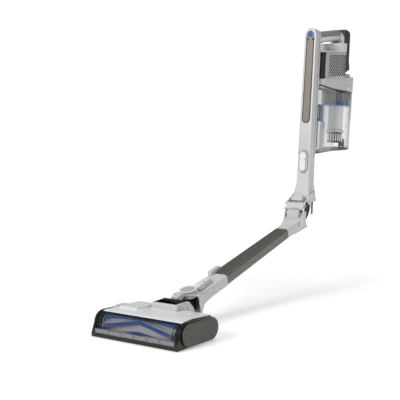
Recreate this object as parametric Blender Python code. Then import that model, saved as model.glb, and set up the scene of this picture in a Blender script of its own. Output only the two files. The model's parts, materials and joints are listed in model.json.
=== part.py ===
"""Cordless stick vacuum with a bending wand, modelled as a bench-strippable assembly.

Sizes are in millimetres and become metres as each mesh is made.  X runs across the nozzle,
Y from the front of the nozzle to the back, Z up.  The origin is on the floor, on the felt
strip under the nozzle.  Four frames carry the pieces: nozzle, lower wand, hinge link and
upper wand.  In both wand frames local Z runs up the wand, and local Y points to its back.
"""
import bpy
import bmesh
import math
from mathutils import Matrix, Vector

for old in list(bpy.data.objects):
    bpy.data.objects.remove(old, do_unlink=True)

MM = 0.001
GAP = 0.3                  # gap between touching pieces
RUN = 0.4                  # clearance round a piece that slides or turns
WALL = 2.4                 # moulded wall

# ---- the wand and its flex hinge ----
WAND_ANGLE = 14.8          # lower wand above the floor, degrees
LINK_ANGLE = 70.0          # line through both hinge pins
UPPER_ANGLE = 84.5         # upper wand and hand vacuum
LINK_LENGTH = 16.0         # between the two hinge pins
FACE = 26.0                # front faces of the wands behind the pin line
DEPTH = 33.0               # hand vacuum tube and upper wand, front to back
LOW_DEPTH = 28.0           # lower wand tube, front to back
TOP_WIDTH = 38.0           # hand vacuum tube at its arch
SEAM_WIDTH = 42.0          # at the joint of hand vacuum and wand
HINGE_WIDTH = 59.0         # wand ends at the hinge
COLLAR_WIDTH = 49.0        # lower collar and neck
SEAM_Z = 141.0             # hand vacuum to wand joint, above the upper pin
TUBE_TOP_Z = 510.5         # top of the arch, above the upper pin
LOW_TUBE_TOP = -92.0       # lower wand tube ends, below the lower pin
LOW_TUBE_END = -414.0
NECK_SEAM = -481.0
SWIVEL_Z = -547.0
HOOD_END = -558.0
PIN_R = 2.5                # hinge pins
EAR_R = 7.6                # ears round the pins
EAR_WALL = 4.2
SPIGOT = 36.0              # length of a spigot inside its socket
BUTTON_HALF = 14.0         # elongated hexagonal release button and its bezel
BEZEL_LENGTH = 64.0
BEZEL_RISE = 5.5
PRESS = 2.0                # travel of a release button

# ---- nozzle ----
NOZZLE_WIDTH = 261.6
CAP_THICK = 7.0            # end caps
RING_THICK = 9.6           # dark rings inside the caps
CAP_FRONT = -47.0          # end cap stadium, in nozzle Y
CAP_LENGTH = 132.5
CAP_BASE = 3.6
CAP_HEIGHT = 51.6
LIP_FRONT = -63.0
BRUSH_R = 23.5             # over the fins
CORE_R = 14.0
BRUSH_Z = 27.0
SHELL_T = 2.6              # nozzle cover
WHEEL_R = 8.0
WHEEL_W = 8.0
PITCH_Y = 88.0             # knuckle axis, in nozzle Y and Z
PITCH_Z = 57.0
KNUCKLE_R = 19.0
BRACKET_HALF = 37.4
BRACKET_WALL = 7.6
PITCH_PIN_R = 4.0
SOLE_Y = 30.0              # middle of the felt strip, and of the whole model's origin

# ---- hand vacuum ----
INCLINE = 0.149            # rise of deck, rim and cup door per mm towards the back
BAND_RISE = -0.038         # fall of its underside towards the back
DECK_Z = 444.0             # deck under the finger gap, at the tube
BAND_Z = 351.5             # underside of the band, at the tube
BAND_H = 15.5              # its height at the tube
POD_Y = 166.0              # axis of motor and pod
POD_R = 44.0
POD_TOP_Z = 480.0
GRIP_HALF = 16.0
GRIP_HIGH = 32.0
CUP_Y = 214.0              # axis of the dust cup
CUP_R = 46.0
CUP_NOSE_HALF = 20.5       # narrow front chamber of the cup
CUP_NOSE_Y = 72.0
CUP_WALL = 2.0
DOOR_Z = 154.3             # underside of the cup wall, at its nose
DOOR_T = 5.0
MOTOR_R = 27.0
BATTERY_HALF = 20.0
BATTERY_DEPTH = 34.0
BATTERY_LENGTH = 125.0
STRIP_HALF = 13.0
POWER_Z = 491.5
POWER_R = 10.0
BACK = FACE + DEPTH


# ---------------------------------------------------------------- outlines (2-D)
def circle(r, n, a=0.0, b=0.0, start=0.0):
    turn = 2 * math.pi / n
    return [(a + r * math.cos(start + i * turn), b + r * math.sin(start + i * turn)) for i in range(n)]


def rounded(x0, x1, y0, y1, r, n=3):
    """Rectangle with rounded corners, anticlockwise."""
    r = min(r, 0.45 * (x1 - x0), 0.45 * (y1 - y0))
    points = []
    for cx, cy, first in ((x1 - r, y0 + r, -90), (x1 - r, y1 - r, 0), (x0 + r, y1 - r, 90),
                          (x0 + r, y0 + r, 180)):
        for i in range(n + 1):
            angle = math.radians(first + 90 * i / n)
            points.append((cx + r * math.cos(angle), cy + r * math.sin(angle)))
    return points


def hull(points):
    """Convex outline round any points, anticlockwise."""
    points = sorted(set((round(a, 5), round(b, 5)) for a, b in points))
    halves = []
    for run in (points, points[::-1]):
        half = []
        for p in run:
            while len(half) > 1 and ((half[-1][0] - half[-2][0]) * (p[1] - half[-2][1])
                                     - (half[-1][1] - half[-2][1]) * (p[0] - half[-2][0])) <= 1e-6:
                half.pop()
            half.append(p)
        halves += half[:-1]
    return halves


def hexagon(half, z_low, z_high):
    """Upright hexagon with pointed ends, for the release buttons."""
    tip = 0.62 * half
    return [(half, z_low + tip), (half, z_high - tip), (0.35 * half, z_high), (-0.35 * half, z_high),
            (-half, z_high - tip), (-half, z_low + tip), (-0.35 * half, z_low), (0.35 * half, z_low)]


def keyhole(inset=0.0, n=20):
    """Dust cup in plan: a round chamber with a narrow nose towards the tube."""
    r, half, nose = CUP_R - inset, CUP_NOSE_HALF - inset, CUP_NOSE_Y + inset
    first = -math.pi / 2 + math.asin(half / r)
    sweep = math.pi - 2 * (first + math.pi / 2) + math.pi
    points = [(r * math.cos(first + sweep * i / n), CUP_Y + r * math.sin(first + sweep * i / n))
              for i in range(n + 1)]
    corner = 5.0
    points += [(-half, nose + corner), (-half + corner, nose), (half - corner, nose), (half, nose + corner)]
    return points


def arch(half_low, half_high, z_low, z_centre, n=10):
    """Front view of the hand vacuum tube: straight sides under a round arch."""
    points = [(-half_low, z_low), (half_low, z_low)]
    for i in range(n + 1):
        angle = math.pi * i / n
        points.append((half_high * math.cos(angle), z_centre + half_high * math.sin(angle)))
    return points


def stadium(r, z_low, z_high, n=8):
    points = [(r * math.cos(math.pi * i / n),
               z_high - r + r * math.sin(math.pi * i / n)) for i in range(n + 1)]
    return points + [(-a, z_low + z_high - b) for a, b in points]


# ---------------------------------------------------------------- frames and solids
class Frame:
    """An empty on a joint's axis; pieces on it are drawn from a handier reference point."""

    def __init__(self, name, y, z, lean, ref=(0.0, 0.0, 0.0)):
        self.empty = bpy.data.objects.new(name, None)
        self.empty.location = (0.0, (y - SOLE_Y) * MM, z * MM)
        self.empty.rotation_euler = (math.radians(lean), 0.0, 0.0)
        bpy.context.scene.collection.objects.link(self.empty)
        self.ref = Vector(ref)


def finish(name, frame, bm, material=None, origin=None):
    """Makes the object from a bmesh drawn in millimetres, and hangs it on its frame."""
    bmesh.ops.remove_doubles(bm, verts=bm.verts, dist=0.0005)
    bmesh.ops.recalc_face_normals(bm, faces=bm.faces)
    at = frame.ref if origin is None else Vector(origin)
    bmesh.ops.translate(bm, verts=bm.verts, vec=-at)
    bmesh.ops.scale(bm, verts=bm.verts, vec=(MM, MM, MM))
    mesh = bpy.data.meshes.new(name)
    bm.to_mesh(mesh)
    bm.free()
    thing = bpy.data.objects.new(name, mesh)
    thing.location = (at - frame.ref) * MM
    thing.parent = frame.empty
    bpy.context.scene.collection.objects.link(thing)
    if material:
        mesh.materials.append(material)
        mesh.shade_smooth()
        mesh.set_sharp_from_angle(angle=math.radians(35))
    return thing


def loft(bm, rings, capped=True):
    """Joins rings of equal length into a skin, with end caps if it is a solid."""
    rows = [[bm.verts.new(p) for p in ring] for ring in rings]
    n = len(rows[0])
    for low, high in zip(rows, rows[1:]):
        for i in range(n):
            j = (i + 1) % n
            bm.faces.new((low[i], low[j], high[j], high[i]))
    if capped:
        bm.faces.new(rows[0])
        bm.faces.new(rows[-1])
    return rows


def solid(rings):
    bm = bmesh.new()
    loft(bm, rings)
    return bm


def sleeve(outer, inner):
    """A tube open at both ends: outer and inner skins of equal ring length."""
    bm = bmesh.new()
    out = loft(bm, outer, capped=False)
    core = loft(bm, inner, capped=False)
    n = len(out[0])
    for a, b in ((out[0], core[0]), (out[-1], core[-1])):
        for i in range(n):
            j = (i + 1) % n
            bm.faces.new((a[i], a[j], b[j], b[i]))
    return bm


def pot(outer, inner):
    """A shell closed at its last ring and open at its first."""
    bm = bmesh.new()
    out = loft(bm, outer, capped=False)
    core = loft(bm, inner, capped=False)
    n = len(out[0])
    for i in range(n):
        j = (i + 1) % n
        bm.faces.new((out[0][i], out[0][j], core[0][j], core[0][i]))
    bm.faces.new(out[-1])
    bm.faces.new(core[-1])
    return bm


def lathe(profile, n, place):
    """Turns a closed (radius, height) loop; place maps (u, v, height) into the frame."""
    bm = bmesh.new()
    rows = []
    for i in range(n):
        angle = 2 * math.pi * i / n
        rows.append([bm.verts.new(place(r * math.cos(angle), r * math.sin(angle), h)) for r, h in profile])
    m = len(profile)
    for i in range(n):
        a, b = rows[i], rows[(i + 1) % n]
        for k in range(m):
            bm.faces.new((a[k], a[(k + 1) % m], b[(k + 1) % m], b[k]))
    return bm


def turned(profile, n, place):
    """Turns an open (radius, height) profile into a solid closed by flat ends."""
    return solid([[place(r * math.cos(2 * math.pi * i / n), r * math.sin(2 * math.pi * i / n), h)
                   for i in range(n)] for r, h in profile])


def ring(outline, z, slope=0.0, y0=0.0):
    return [(a, b, z + slope * (b - y0)) for a, b in outline]


def along_x(outline, x):
    return [(x, a, b) for a, b in outline]


def along_y(outline, y):
    return [(a, y, b) for a, b in outline]


def prism_x(outline, x0, x1):
    return solid([along_x(outline, x0), along_x(outline, x1)])


def prism_y(outline, y0, y1):
    return solid([along_y(outline, y0), along_y(outline, y1)])


def prism_z(outline, z0, z1, slope=0.0, y0=0.0):
    return solid([ring(outline, z0, slope, y0), ring(outline, z1, slope, y0)])


def box(x0, x1, y0, y1, z0, z1):
    return prism_z([(x0, y0), (x1, y0), (x1, y1), (x0, y1)], z0, z1)


def on_x(y, z):
    return lambda u, v, h: (h, y + u, z + v)


def on_y(z):
    return lambda u, v, h: (v, h, z + u)


def on_z(y):
    return lambda u, v, h: (u, y + v, h)


def boolean(target, tool_bm, operation):
    """Cuts or joins a tool solid drawn in the target's own frame."""
    tool = finish(f"{target.name}.tool{len(target.modifiers)}", frame_of[target.name], tool_bm)
    tool.hide_render = True
    tool.display_type = "WIRE"
    step = target.modifiers.new(operation.lower(), "BOOLEAN")
    step.operation = operation
    step.solver = "EXACT"
    step.object = tool


def cut(target, tool_bm):
    boolean(target, tool_bm, "DIFFERENCE")


def join(target, tool_bm):
    boolean(target, tool_bm, "UNION")


frame_of = {}


def piece(name, frame, bm, finish_name, origin=None):
    frame_of[name] = frame
    return finish(name, frame, bm, material_for(name, finish_name), origin)


FINISHES = {                       # colour, roughness, metallic
    "light_abs": ((0.55, 0.55, 0.55), 0.42, 0.0),
    "white_abs": ((0.80, 0.81, 0.82), 0.35, 0.0),
    "silver_abs": ((0.44, 0.44, 0.44), 0.30, 0.3),
    "dark_tube": ((0.20, 0.20, 0.18), 0.45, 0.3),
    "dark_abs": ((0.07, 0.07, 0.06), 0.50, 0.0),
    "black_abs": ((0.015, 0.015, 0.016), 0.45, 0.0),
    "clear": ((0.75, 0.77, 0.78), 0.08, 0.0),
    "smoke": ((0.16, 0.16, 0.17), 0.08, 0.0),
    "bronze_clear": ((0.38, 0.35, 0.31), 0.15, 0.0),
    "blue_abs": ((0.03, 0.13, 0.36), 0.35, 0.0),
    "rubber": ((0.02, 0.02, 0.02), 0.80, 0.0),
    "grip": ((0.17, 0.16, 0.155), 0.65, 0.0),
    "gloss_strip": ((0.28, 0.27, 0.24), 0.12, 0.2),
    "foam": ((0.10, 0.10, 0.11), 0.95, 0.0),
    "steel": ((0.55, 0.55, 0.56), 0.25, 1.0),
}


def material_for(name, kind):
    colour, rough, metal = FINISHES[kind]
    made = bpy.data.materials.new(f"{name}_{kind}")
    made.use_nodes = True
    shader = made.node_tree.nodes["Principled BSDF"]
    shader.inputs["Base Color"].default_value = (*colour, 1.0)
    shader.inputs["Roughness"].default_value = rough
    shader.inputs["Metallic"].default_value = metal
    return made


# ---------------------------------------------------------------- where the frames stand
def step_from(point, angle, distance):
    return (point[0] + distance * math.cos(math.radians(angle)),
            point[1] + distance * math.sin(math.radians(angle)))


PITCH_L = (26.7, -610.5)           # knuckle axis seen in the lower wand frame (back, up the wand)


def lower_pin():
    """The lower hinge pin, from the knuckle axis up the lower wand."""
    along = step_from((PITCH_Y, PITCH_Z), WAND_ANGLE, -PITCH_L[1])
    return step_from(along, WAND_ANGLE + 90, PITCH_L[0])


PIN_LOW = lower_pin()
PIN_UP = step_from(PIN_LOW, LINK_ANGLE, LINK_LENGTH)

NOZZLE = Frame("nozzle_frame", PITCH_Y, PITCH_Z, 0.0, (0.0, PITCH_Y, PITCH_Z))
LOWER = Frame("lower_frame", *PIN_LOW, WAND_ANGLE - 90)
LINK = Frame("link_frame", *PIN_UP, LINK_ANGLE - 90)
UPPER = Frame("upper_frame", *PIN_UP, UPPER_ANGLE - 90)


# ---------------------------------------------------------------- nozzle
CAP_R = CAP_HEIGHT / 2
CAP_MID = CAP_BASE + CAP_R
CAP_BACK = CAP_FRONT + CAP_LENGTH
HALF = NOZZLE_WIDTH / 2
RING_OUT = HALF - CAP_THICK - GAP      # outer face of the dark rings
RING_IN = RING_OUT - RING_THICK
SPAN = RING_IN - GAP                   # cover, window and strip end here
BRUSH_Y = CAP_FRONT + CAP_R - 1.0
WINDOW_R = BRUSH_R + 7.5
COVER_TOP = BRUSH_Z + WINDOW_R + 0.6
CHAMBER_BACK = BRUSH_Y + BRUSH_R + 2.5
FLOOR_Z = 3.0                          # underside of the base plate
MOTOR_Y = CHAMBER_BACK + 40.0
MOTOR_Z = BRUSH_Z + 3.0
PULLEY_R = 12.0
PINION_R = 6.0
BELT_T = 1.5
BELT_IN = SPAN - 5.0                   # belt lies between here and the ring
WHEEL_X = SPAN - 9.0 - WHEEL_W
WHEEL_Y = MOTOR_Y + 1.0


def arc_yz(r, first, last, n):
    """Points on a circle round the brush, angles from +Y towards +Z."""
    turn = math.radians(last - first) / n
    start = math.radians(first)
    return [(BRUSH_Y + r * math.cos(start + i * turn), BRUSH_Z + r * math.sin(start + i * turn))
            for i in range(n + 1)]


def nozzle_base():
    """Dark chassis: floor plate, lip, chamber wall and the two end rings."""
    back = CAP_BACK - 2.0
    wall = CHAMBER_BACK
    outline = [(LIP_FRONT, 1.5), (LIP_FRONT + 6, 1.5), (LIP_FRONT + 6, FLOOR_Z), (back, FLOOR_Z),
               (back, 30),
               (back - 3, 30), (back - 3, 6), (wall + 2, 6), (wall + 2, COVER_TOP - SHELL_T - 1),
               (wall, COVER_TOP - SHELL_T - 1),
               (wall, 6), (LIP_FRONT + 6, 6), (LIP_FRONT + 6, 10.5), (LIP_FRONT, 10.5)]
    base = piece("nozzle_base", NOZZLE, prism_x(outline, -RING_IN - 1, RING_IN + 1), "dark_abs")
    end = hull(circle(WINDOW_R, 24, BRUSH_Y, BRUSH_Z) + circle(CAP_R, 20, CAP_BACK - CAP_R, CAP_MID)
               + [(LIP_FRONT, 1.5), (LIP_FRONT, 10.5), (LIP_FRONT + 12, 1.5)])
    end = [(a, max(b, 1.5)) for a, b in end]
    for side in (-1, 1):
        join(base, prism_x(end, side * RING_IN, side * RING_OUT))
    cut(base, box(-SPAN + 8, SPAN - 8, BRUSH_Y - 19, CHAMBER_BACK - 3, 0, 7))
    for side in (-1, 1):
        x = sorted((side * (WHEEL_X - 1.5), side * (WHEEL_X + WHEEL_W + 1.5)))
        cut(base, box(x[0], x[1], WHEEL_Y - WHEEL_R - 1.5, WHEEL_Y + WHEEL_R + 1.5, 0, 7))
    cut(base, prism_x(circle(4.4, 12, BRUSH_Y, BRUSH_Z), -RING_IN - 6, RING_IN + 6))
    cut(base, box(-SPAN - 0.1, -BELT_IN + 1.5, wall - 1, wall + 3, MOTOR_Z - PULLEY_R - 3,
                  MOTOR_Z + PULLEY_R + 5))
    return base


def nozzle_shells():
    """White top cover, smoked window, clear front strip, light bar board and end caps."""
    lid_front = 118
    top = arc_yz(WINDOW_R + 0.6, lid_front, 90, 5) + [(4, COVER_TOP + 2.0),
                                                      (CAP_BACK - 8, CAP_BASE + CAP_HEIGHT + 1),
                                                        (CAP_BACK, CAP_BASE + CAP_HEIGHT - 8),
                                                      (CAP_BACK, 31)]
    under = arc_yz(WINDOW_R + 0.6 - SHELL_T, lid_front, 90, 5) + [(4, COVER_TOP + 2.0 - SHELL_T),
              (CAP_BACK - 8 - 1.5, CAP_BASE + CAP_HEIGHT + 1 - SHELL_T),
                                                                  (CAP_BACK - 1.7,
                                                                   CAP_BASE + CAP_HEIGHT - 9.5),
              (CAP_BACK - 1.7, 31)]
    cover = piece("top_cover", NOZZLE, prism_x(top + under[::-1], -SPAN, SPAN), "white_abs")
    join(cover, box(-SPAN + 20, -BRACKET_HALF - 6, 4, CAP_BACK - 12, COVER_TOP, COVER_TOP + 5))
    cut(cover, box(-BRACKET_HALF - GAP, BRACKET_HALF + GAP, BRACKET_FRONT - GAP, CAP_BACK + 5, 20,
                   COVER_TOP + 20))
    glass = arc_yz(WINDOW_R, lid_front + 1.5, 190, 9) + arc_yz(WINDOW_R - 2.0, lid_front + 1.5, 190,
                                                               9)[::-1]
    piece("brush_window", NOZZLE, prism_x(glass, -SPAN, SPAN), "smoke")
    low = arc_yz(WINDOW_R, 192, 192, 1)[0]
    strip = [(LIP_FRONT + 0.4, 10.8), (LIP_FRONT + 1.4, low[1] + 0.5), (low[0], low[1]),
             (low[0] + 1.8, low[1] - 2.2),
             (LIP_FRONT + 3.6, low[1] - 2.2), (LIP_FRONT + 2.8, 10.8)]
    piece("front_strip", NOZZLE, prism_x(strip, -SPAN, SPAN), "clear")
    end = hull(circle(CAP_R, 24, CAP_FRONT + CAP_R, CAP_MID) + circle(CAP_R, 24, CAP_BACK - CAP_R, CAP_MID))
    small = hull(circle(CAP_R - 1.5, 24, CAP_FRONT + CAP_R, CAP_MID) + circle(CAP_R - 1.5, 24,
                                                                              CAP_BACK - CAP_R, CAP_MID))
    for name, side in (("end_cap_left", -1), ("end_cap_right", 1)):
        rings = [along_x(end, side * (HALF - CAP_THICK)), along_x(end, side * (HALF - 1.5)),
                 along_x(small, side * HALF)]
        piece(name, NOZZLE, solid(rings), "dark_abs")


BRACKET_FRONT = PITCH_Y - 39.0
BRACKET_FLOOR = 30.3


def pivot_bracket():
    """Light clevis that carries the knuckle pin, open at the top and back."""
    side = [(BRACKET_FRONT, BRACKET_FLOOR), (BRACKET_FRONT, COVER_TOP + 1),
            (BRACKET_FRONT + 5, PITCH_Z + 15.5),
            (PITCH_Y + 12, PITCH_Z + 15.5), (PITCH_Y + 28, PITCH_Z), (PITCH_Y + 38, 40),
            (PITCH_Y + 38, BRACKET_FLOOR)]
    bracket = piece("pivot_bracket", NOZZLE, prism_x(side, -BRACKET_HALF, BRACKET_HALF), "light_abs")
    inner = BRACKET_HALF - BRACKET_WALL
    cut(bracket, box(-inner, inner, BRACKET_FRONT + 6, PITCH_Y + 60, BRACKET_FLOOR + 4, PITCH_Z + 40))
    cut(bracket, prism_x(circle(PITCH_PIN_R + GAP, 12, PITCH_Y, PITCH_Z), -BRACKET_HALF - 5,
                         BRACKET_HALF + 5))
    half = BRACKET_HALF - 0.6
    profile = [(PITCH_PIN_R, -half), (PITCH_PIN_R, half)]
    piece("pitch_pin", NOZZLE, turned(profile, 12, on_x(PITCH_Y, PITCH_Z)), "steel")


def brush_drive():
    """Brush roll with its fins, the motor, pinion and belt, and the two rear wheels."""
    stub = RING_IN + 4
    core = [(3.8, -stub), (3.8, -BELT_IN - 4), (PULLEY_R, -BELT_IN - 4), (PULLEY_R, -BELT_IN + 0.5),
            (CORE_R, -BELT_IN + 0.5), (CORE_R, SPAN - 6), (3.8, SPAN - 6), (3.8, stub)]
    axis = (0.0, BRUSH_Y, BRUSH_Z)
    piece("brush_core", NOZZLE, turned(core, 16, on_x(BRUSH_Y, BRUSH_Z)), "blue_abs", axis)
    fins, steps = 6, 10
    reach = BELT_IN - 3
    outer, inner = [], []
    for k in range(steps + 1):
        x = -reach + 2 * reach * k / steps
        twist = 0.9 * abs(x) / reach
        star = []
        for i in range(fins):
            for share, r in ((-0.36, CORE_R + 1.6), (-0.07, BRUSH_R - 0.3), (0.07, BRUSH_R - 0.3),
                             (0.36, CORE_R + 1.6)):
                angle = (i + share) * 2 * math.pi / fins + twist
                star.append((BRUSH_Y + r * math.cos(angle), BRUSH_Z + r * math.sin(angle)))
        outer.append(along_x(star, x))
        inner.append(along_x(circle(CORE_R + GAP + 0.3, 4 * fins, BRUSH_Y, BRUSH_Z,
                                    twist - 0.36 * 2 * math.pi / fins), x))
    piece("brush_fins", NOZZLE, sleeve(outer, inner), "rubber", axis)
    motor = [(3.0, -BELT_IN + 6), (12.0, -BELT_IN + 6), (12.0, -BRACKET_HALF - 4), (3.0, -BRACKET_HALF - 4)]
    piece("brush_motor", NOZZLE, lathe(motor, 16, on_x(MOTOR_Y, MOTOR_Z)), "steel")
    pinion = [(PINION_R, -BELT_IN - 4), (PINION_R, -BELT_IN + 0.5), (2.5, -BELT_IN + 0.5),
              (2.5, -BELT_IN + 20)]
    piece("drive_pinion", NOZZLE, turned(pinion, 12, on_x(MOTOR_Y, MOTOR_Z)), "steel",
          (0.0, MOTOR_Y, MOTOR_Z))

    def loop(extra):
        return hull(circle(PULLEY_R + extra, 20, BRUSH_Y, BRUSH_Z) + circle(PINION_R + extra, 20,
                                                                            MOTOR_Y, MOTOR_Z))

    belt = piece("drive_belt", NOZZLE, prism_x(loop(GAP + BELT_T), -BELT_IN - 3.6, -BELT_IN), "rubber")
    cut(belt, prism_x(loop(GAP), -BELT_IN - 5, -BELT_IN + 2))
    for name, side in (("rear_wheel_left", -1), ("rear_wheel_right", 1)):
        mid = side * (WHEEL_X + WHEEL_W / 2)
        half = WHEEL_W / 2
        profile = [(1.6, -half - 1), (1.6, -half), (WHEEL_R - 1, -half), (WHEEL_R, -half + 1),
                   (WHEEL_R, half - 1),
                   (WHEEL_R - 1, half), (1.6, half), (1.6, half + 1)]
        rolled = turned([(r, mid + h) for r, h in profile], 16, on_x(WHEEL_Y, WHEEL_R))
        piece(name, NOZZLE, rolled, "dark_abs", (mid, WHEEL_Y, WHEEL_R))
    piece("felt_strip", NOZZLE, box(-SPAN + 24, SPAN - 24, SOLE_Y - 10, SOLE_Y + 10, 0, FLOOR_Z - GAP),
          "foam")


# ---------------------------------------------------------------- knuckle and neck
def knuckle():
    """Black knuckle: a barrel on the pitch pin, an arm, and a post under the disc."""
    half = BRACKET_HALF - BRACKET_WALL - 0.9
    y, z = PITCH_L
    swivel = (0.0, FACE, SWIVEL_Z)
    body = piece("knuckle", LOWER, prism_x(circle(KNUCKLE_R, 20, y, z), -half, half), "black_abs", swivel)
    arm = [(y - 9, z - 2), (y - 5, z + 20), (30.5, SWIVEL_Z - 26), (30.5, SWIVEL_Z + 4),
           (54, SWIVEL_Z - 6), (54, SWIVEL_Z - 30), (y + 14, z + 4)]
    join(body, prism_x(arm, -13, 13))
    join(body, turned([(15, 31), (15, 58)], 16, on_y(SWIVEL_Z)))
    cut(body, prism_x(circle(PITCH_PIN_R + GAP, 12, y, z), -half - 5, half + 5))
    cut(body, turned([(5.4, 20), (5.4, 70)], 12, on_y(SWIVEL_Z)))


def tube_rings(sections, inset, corner=6.0):
    """Rounded rectangles up a wand: (z, half width, front, back) and an inset wall."""
    rings = []
    for z, half, front, back in sections:
        outline = rounded(-half + inset, half - inset, front + inset, back - inset,
                          max(corner - inset, 1.0))
        rings.append(ring(outline, z))
    return rings


def hex_pocket(target, z_low):
    """Room in the socket's face for the bezel that stands on the other wand."""
    pocket = hexagon(BUTTON_HALF + RUN, z_low - RUN, z_low + BEZEL_LENGTH + RUN)
    cut(target, prism_y(pocket, FACE - 9, FACE + 1.0 + RUN))


def hex_bezel(target, z_low):
    """A hexagonal collar round the release button, joined to its wand."""
    z_high = z_low + BEZEL_LENGTH
    outer = hexagon(BUTTON_HALF, z_low, z_high)
    inner = hexagon(BUTTON_HALF - 3.0, z_low + 3.5, z_high - 3.5)
    front = FACE - BEZEL_RISE
    join(target, sleeve([along_y(outer, front), along_y(outer, FACE + 1.0)],
                        [along_y(inner, front), along_y(inner, FACE + 1.0)]))


def hex_button(name, frame, z_low):
    inner = hexagon(BUTTON_HALF - 3.0 - RUN, z_low + 3.5 + RUN, z_low + BEZEL_LENGTH - 3.5 - RUN)
    low = hexagon(BUTTON_HALF - 4.4 - RUN, z_low + 5.0 + RUN, z_low + BEZEL_LENGTH - 5.0 - RUN)
    top = FACE - BEZEL_RISE - 2.0
    rings = [along_y(low, top), along_y(inner, top + 1.2), along_y(inner, FACE - PRESS - 0.6)]
    piece(name, frame, solid(rings), "light_abs", (0.0, top, z_low + BEZEL_LENGTH / 2))


def spigot(target, half, front, back, z_seam, upward=True):
    """A spigot that leaves one tube and slides into the next, thicker inside its own tube."""
    over, under = 0.6, RUN
    rings_out, rings_in = [], []
    for dz, grow in ((-18, over), (-1.0, over), (0.5, -under), (SPIGOT, -under)):
        inset = WALL - grow
        outline = rounded(-half + inset, half - inset, front + inset, back - inset, 6.0 - inset)
        core = rounded(-half + inset + 2, half - inset - 2, front + inset + 2, back - inset - 2,
                       max(4.0 - inset, 1.0))
        rings_out.append(ring(outline, z_seam + dz))
        rings_in.append(ring(core, z_seam + dz))
    join(target, sleeve(rings_out, rings_in))


HOLLOW_FRONT = 3.0 - WALL              # the hand vacuum tube has a thicker front wall


def neck():
    """Neck housing: spigot, straight part and the flared hood over the knuckle."""
    half = COLLAR_WIDTH / 2
    back = FACE + LOW_DEPTH + 2
    sections = [(HOOD_END, 39, FACE - 9, back + 13), (SWIVEL_Z + 6, 33, FACE - 5, back + 8),
                (SWIVEL_Z + 26, half + 1, FACE, back + 2), (NECK_SEAM - GAP, half, FACE, back)]
    housing = piece("neck_housing", LOWER, sleeve(tube_rings(sections, 0), tube_rings(sections, WALL)),
                    "light_abs")
    spigot(housing, half, FACE, back, NECK_SEAM - GAP)
    join(housing, lathe([(5.4, FACE - 13.5), (21, FACE - 13.5), (21, FACE + 1), (5.4, FACE + 1)], 20,
                        on_y(SWIVEL_Z)))
    cut(housing, turned([(5.4, FACE - 30), (5.4, FACE + 8)], 20, on_y(SWIVEL_Z)))
    hex_bezel(housing, NECK_SEAM - 40)
    hex_button("neck_release_button", LOWER, NECK_SEAM - 40)
    disc = [(18.5, FACE - 17.0), (18.5, FACE - 13.8), (5.0, FACE - 13.8), (5.0, FACE + 30)]
    piece("swivel_disc", LOWER, turned(disc, 24, on_y(SWIVEL_Z)), "silver_abs", (0.0, FACE, SWIVEL_Z))


def lower_wand():
    """Collar, dark tube and hinge housing of the lower wand, and the flex latch."""
    half = COLLAR_WIDTH / 2
    back = FACE + LOW_DEPTH
    sections = [(NECK_SEAM, half, FACE, back + 2), (LOW_TUBE_END - GAP, half, FACE, back + 2)]
    collar = piece("lower_collar", LOWER, sleeve(tube_rings(sections, 0), tube_rings(sections, WALL)),
                   "light_abs")
    clip = [(FACE - 10, LOW_TUBE_END + 26), (FACE - GAP - 0.2, LOW_TUBE_END + 26),
            (FACE - GAP - 0.2, LOW_TUBE_END - 1),
            (FACE + 1.5, LOW_TUBE_END - 1), (FACE + 1.5, LOW_TUBE_END - 16), (FACE - 10, LOW_TUBE_END - 14)]
    join(collar, prism_x(clip, -half + 1, -half + 13))
    hex_pocket(collar, NECK_SEAM - 40)
    sections = [(LOW_TUBE_END, half - 0.6, FACE, back), (LOW_TUBE_TOP, SEAM_WIDTH / 2 - 1, FACE, back)]
    piece("lower_tube", LOWER, sleeve(tube_rings(sections, 0, 4.5), tube_rings(sections, WALL, 4.5)),
          "dark_tube")
    hinge_half = HINGE_WIDTH / 2
    sections = [(LOW_TUBE_TOP + GAP, SEAM_WIDTH / 2, FACE, back),
                (-62, SEAM_WIDTH / 2 + 0.6, FACE - 0.5, back + 1),
                (-35, 25.5, FACE - 4.5, back + 3)]
    outer = tube_rings(sections, 0)
    inner = tube_rings(sections, WALL)
    slope = 0.36
    for rows, inset in ((outer, 0.0), (inner, WALL)):
        end = rounded(-hinge_half + inset, hinge_half - inset, FACE - 10 + inset, back + 3 - inset,
                      6.0 - inset)
        rows.append(ring(end, -9.0, slope, FACE - 10))
    housing = piece("lower_hinge_housing", LOWER, sleeve(outer, inner), "light_abs")
    ears(housing, -1)
    for side in (-1, 1):
        lug = hull(circle(3.6, 10, LATCH_Y, LATCH_Z) + [(back + 0.5, LATCH_Z - 5),
                                                        (back + 0.5, LATCH_Z + 4)])
        x = sorted((side * 7.6, side * 11.4))
        join(housing, prism_x(lug, x[0], x[1]))
    cut(housing, prism_x(circle(2.3, 10, LATCH_Y, LATCH_Z), -13, 13))
    lever = [(LATCH_Y - 1, LATCH_Z - 26), (LATCH_Y + 3, LATCH_Z - 25), (LATCH_Y + 4, LATCH_Z),
             (LATCH_Y + 2, LATCH_Z + 30),
             (LATCH_Y + 7, LATCH_Z + 38), (LATCH_Y + 4, LATCH_Z + 46), (LATCH_Y - 3, LATCH_Z + 44),
             (LATCH_Y - 2.5, LATCH_Z + 8), (LATCH_Y - 2.8, LATCH_Z - 4)]
    latch = piece("flex_latch", LOWER, prism_x(lever, -7.2, 7.2), "light_abs", (0.0, LATCH_Y, LATCH_Z))
    join(latch, turned([(1.9, -11.2), (1.9, 11.2)], 10, on_x(LATCH_Y, LATCH_Z)))


LATCH_Y = FACE + LOW_DEPTH + 8.5
LATCH_Z = -6.0


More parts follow.
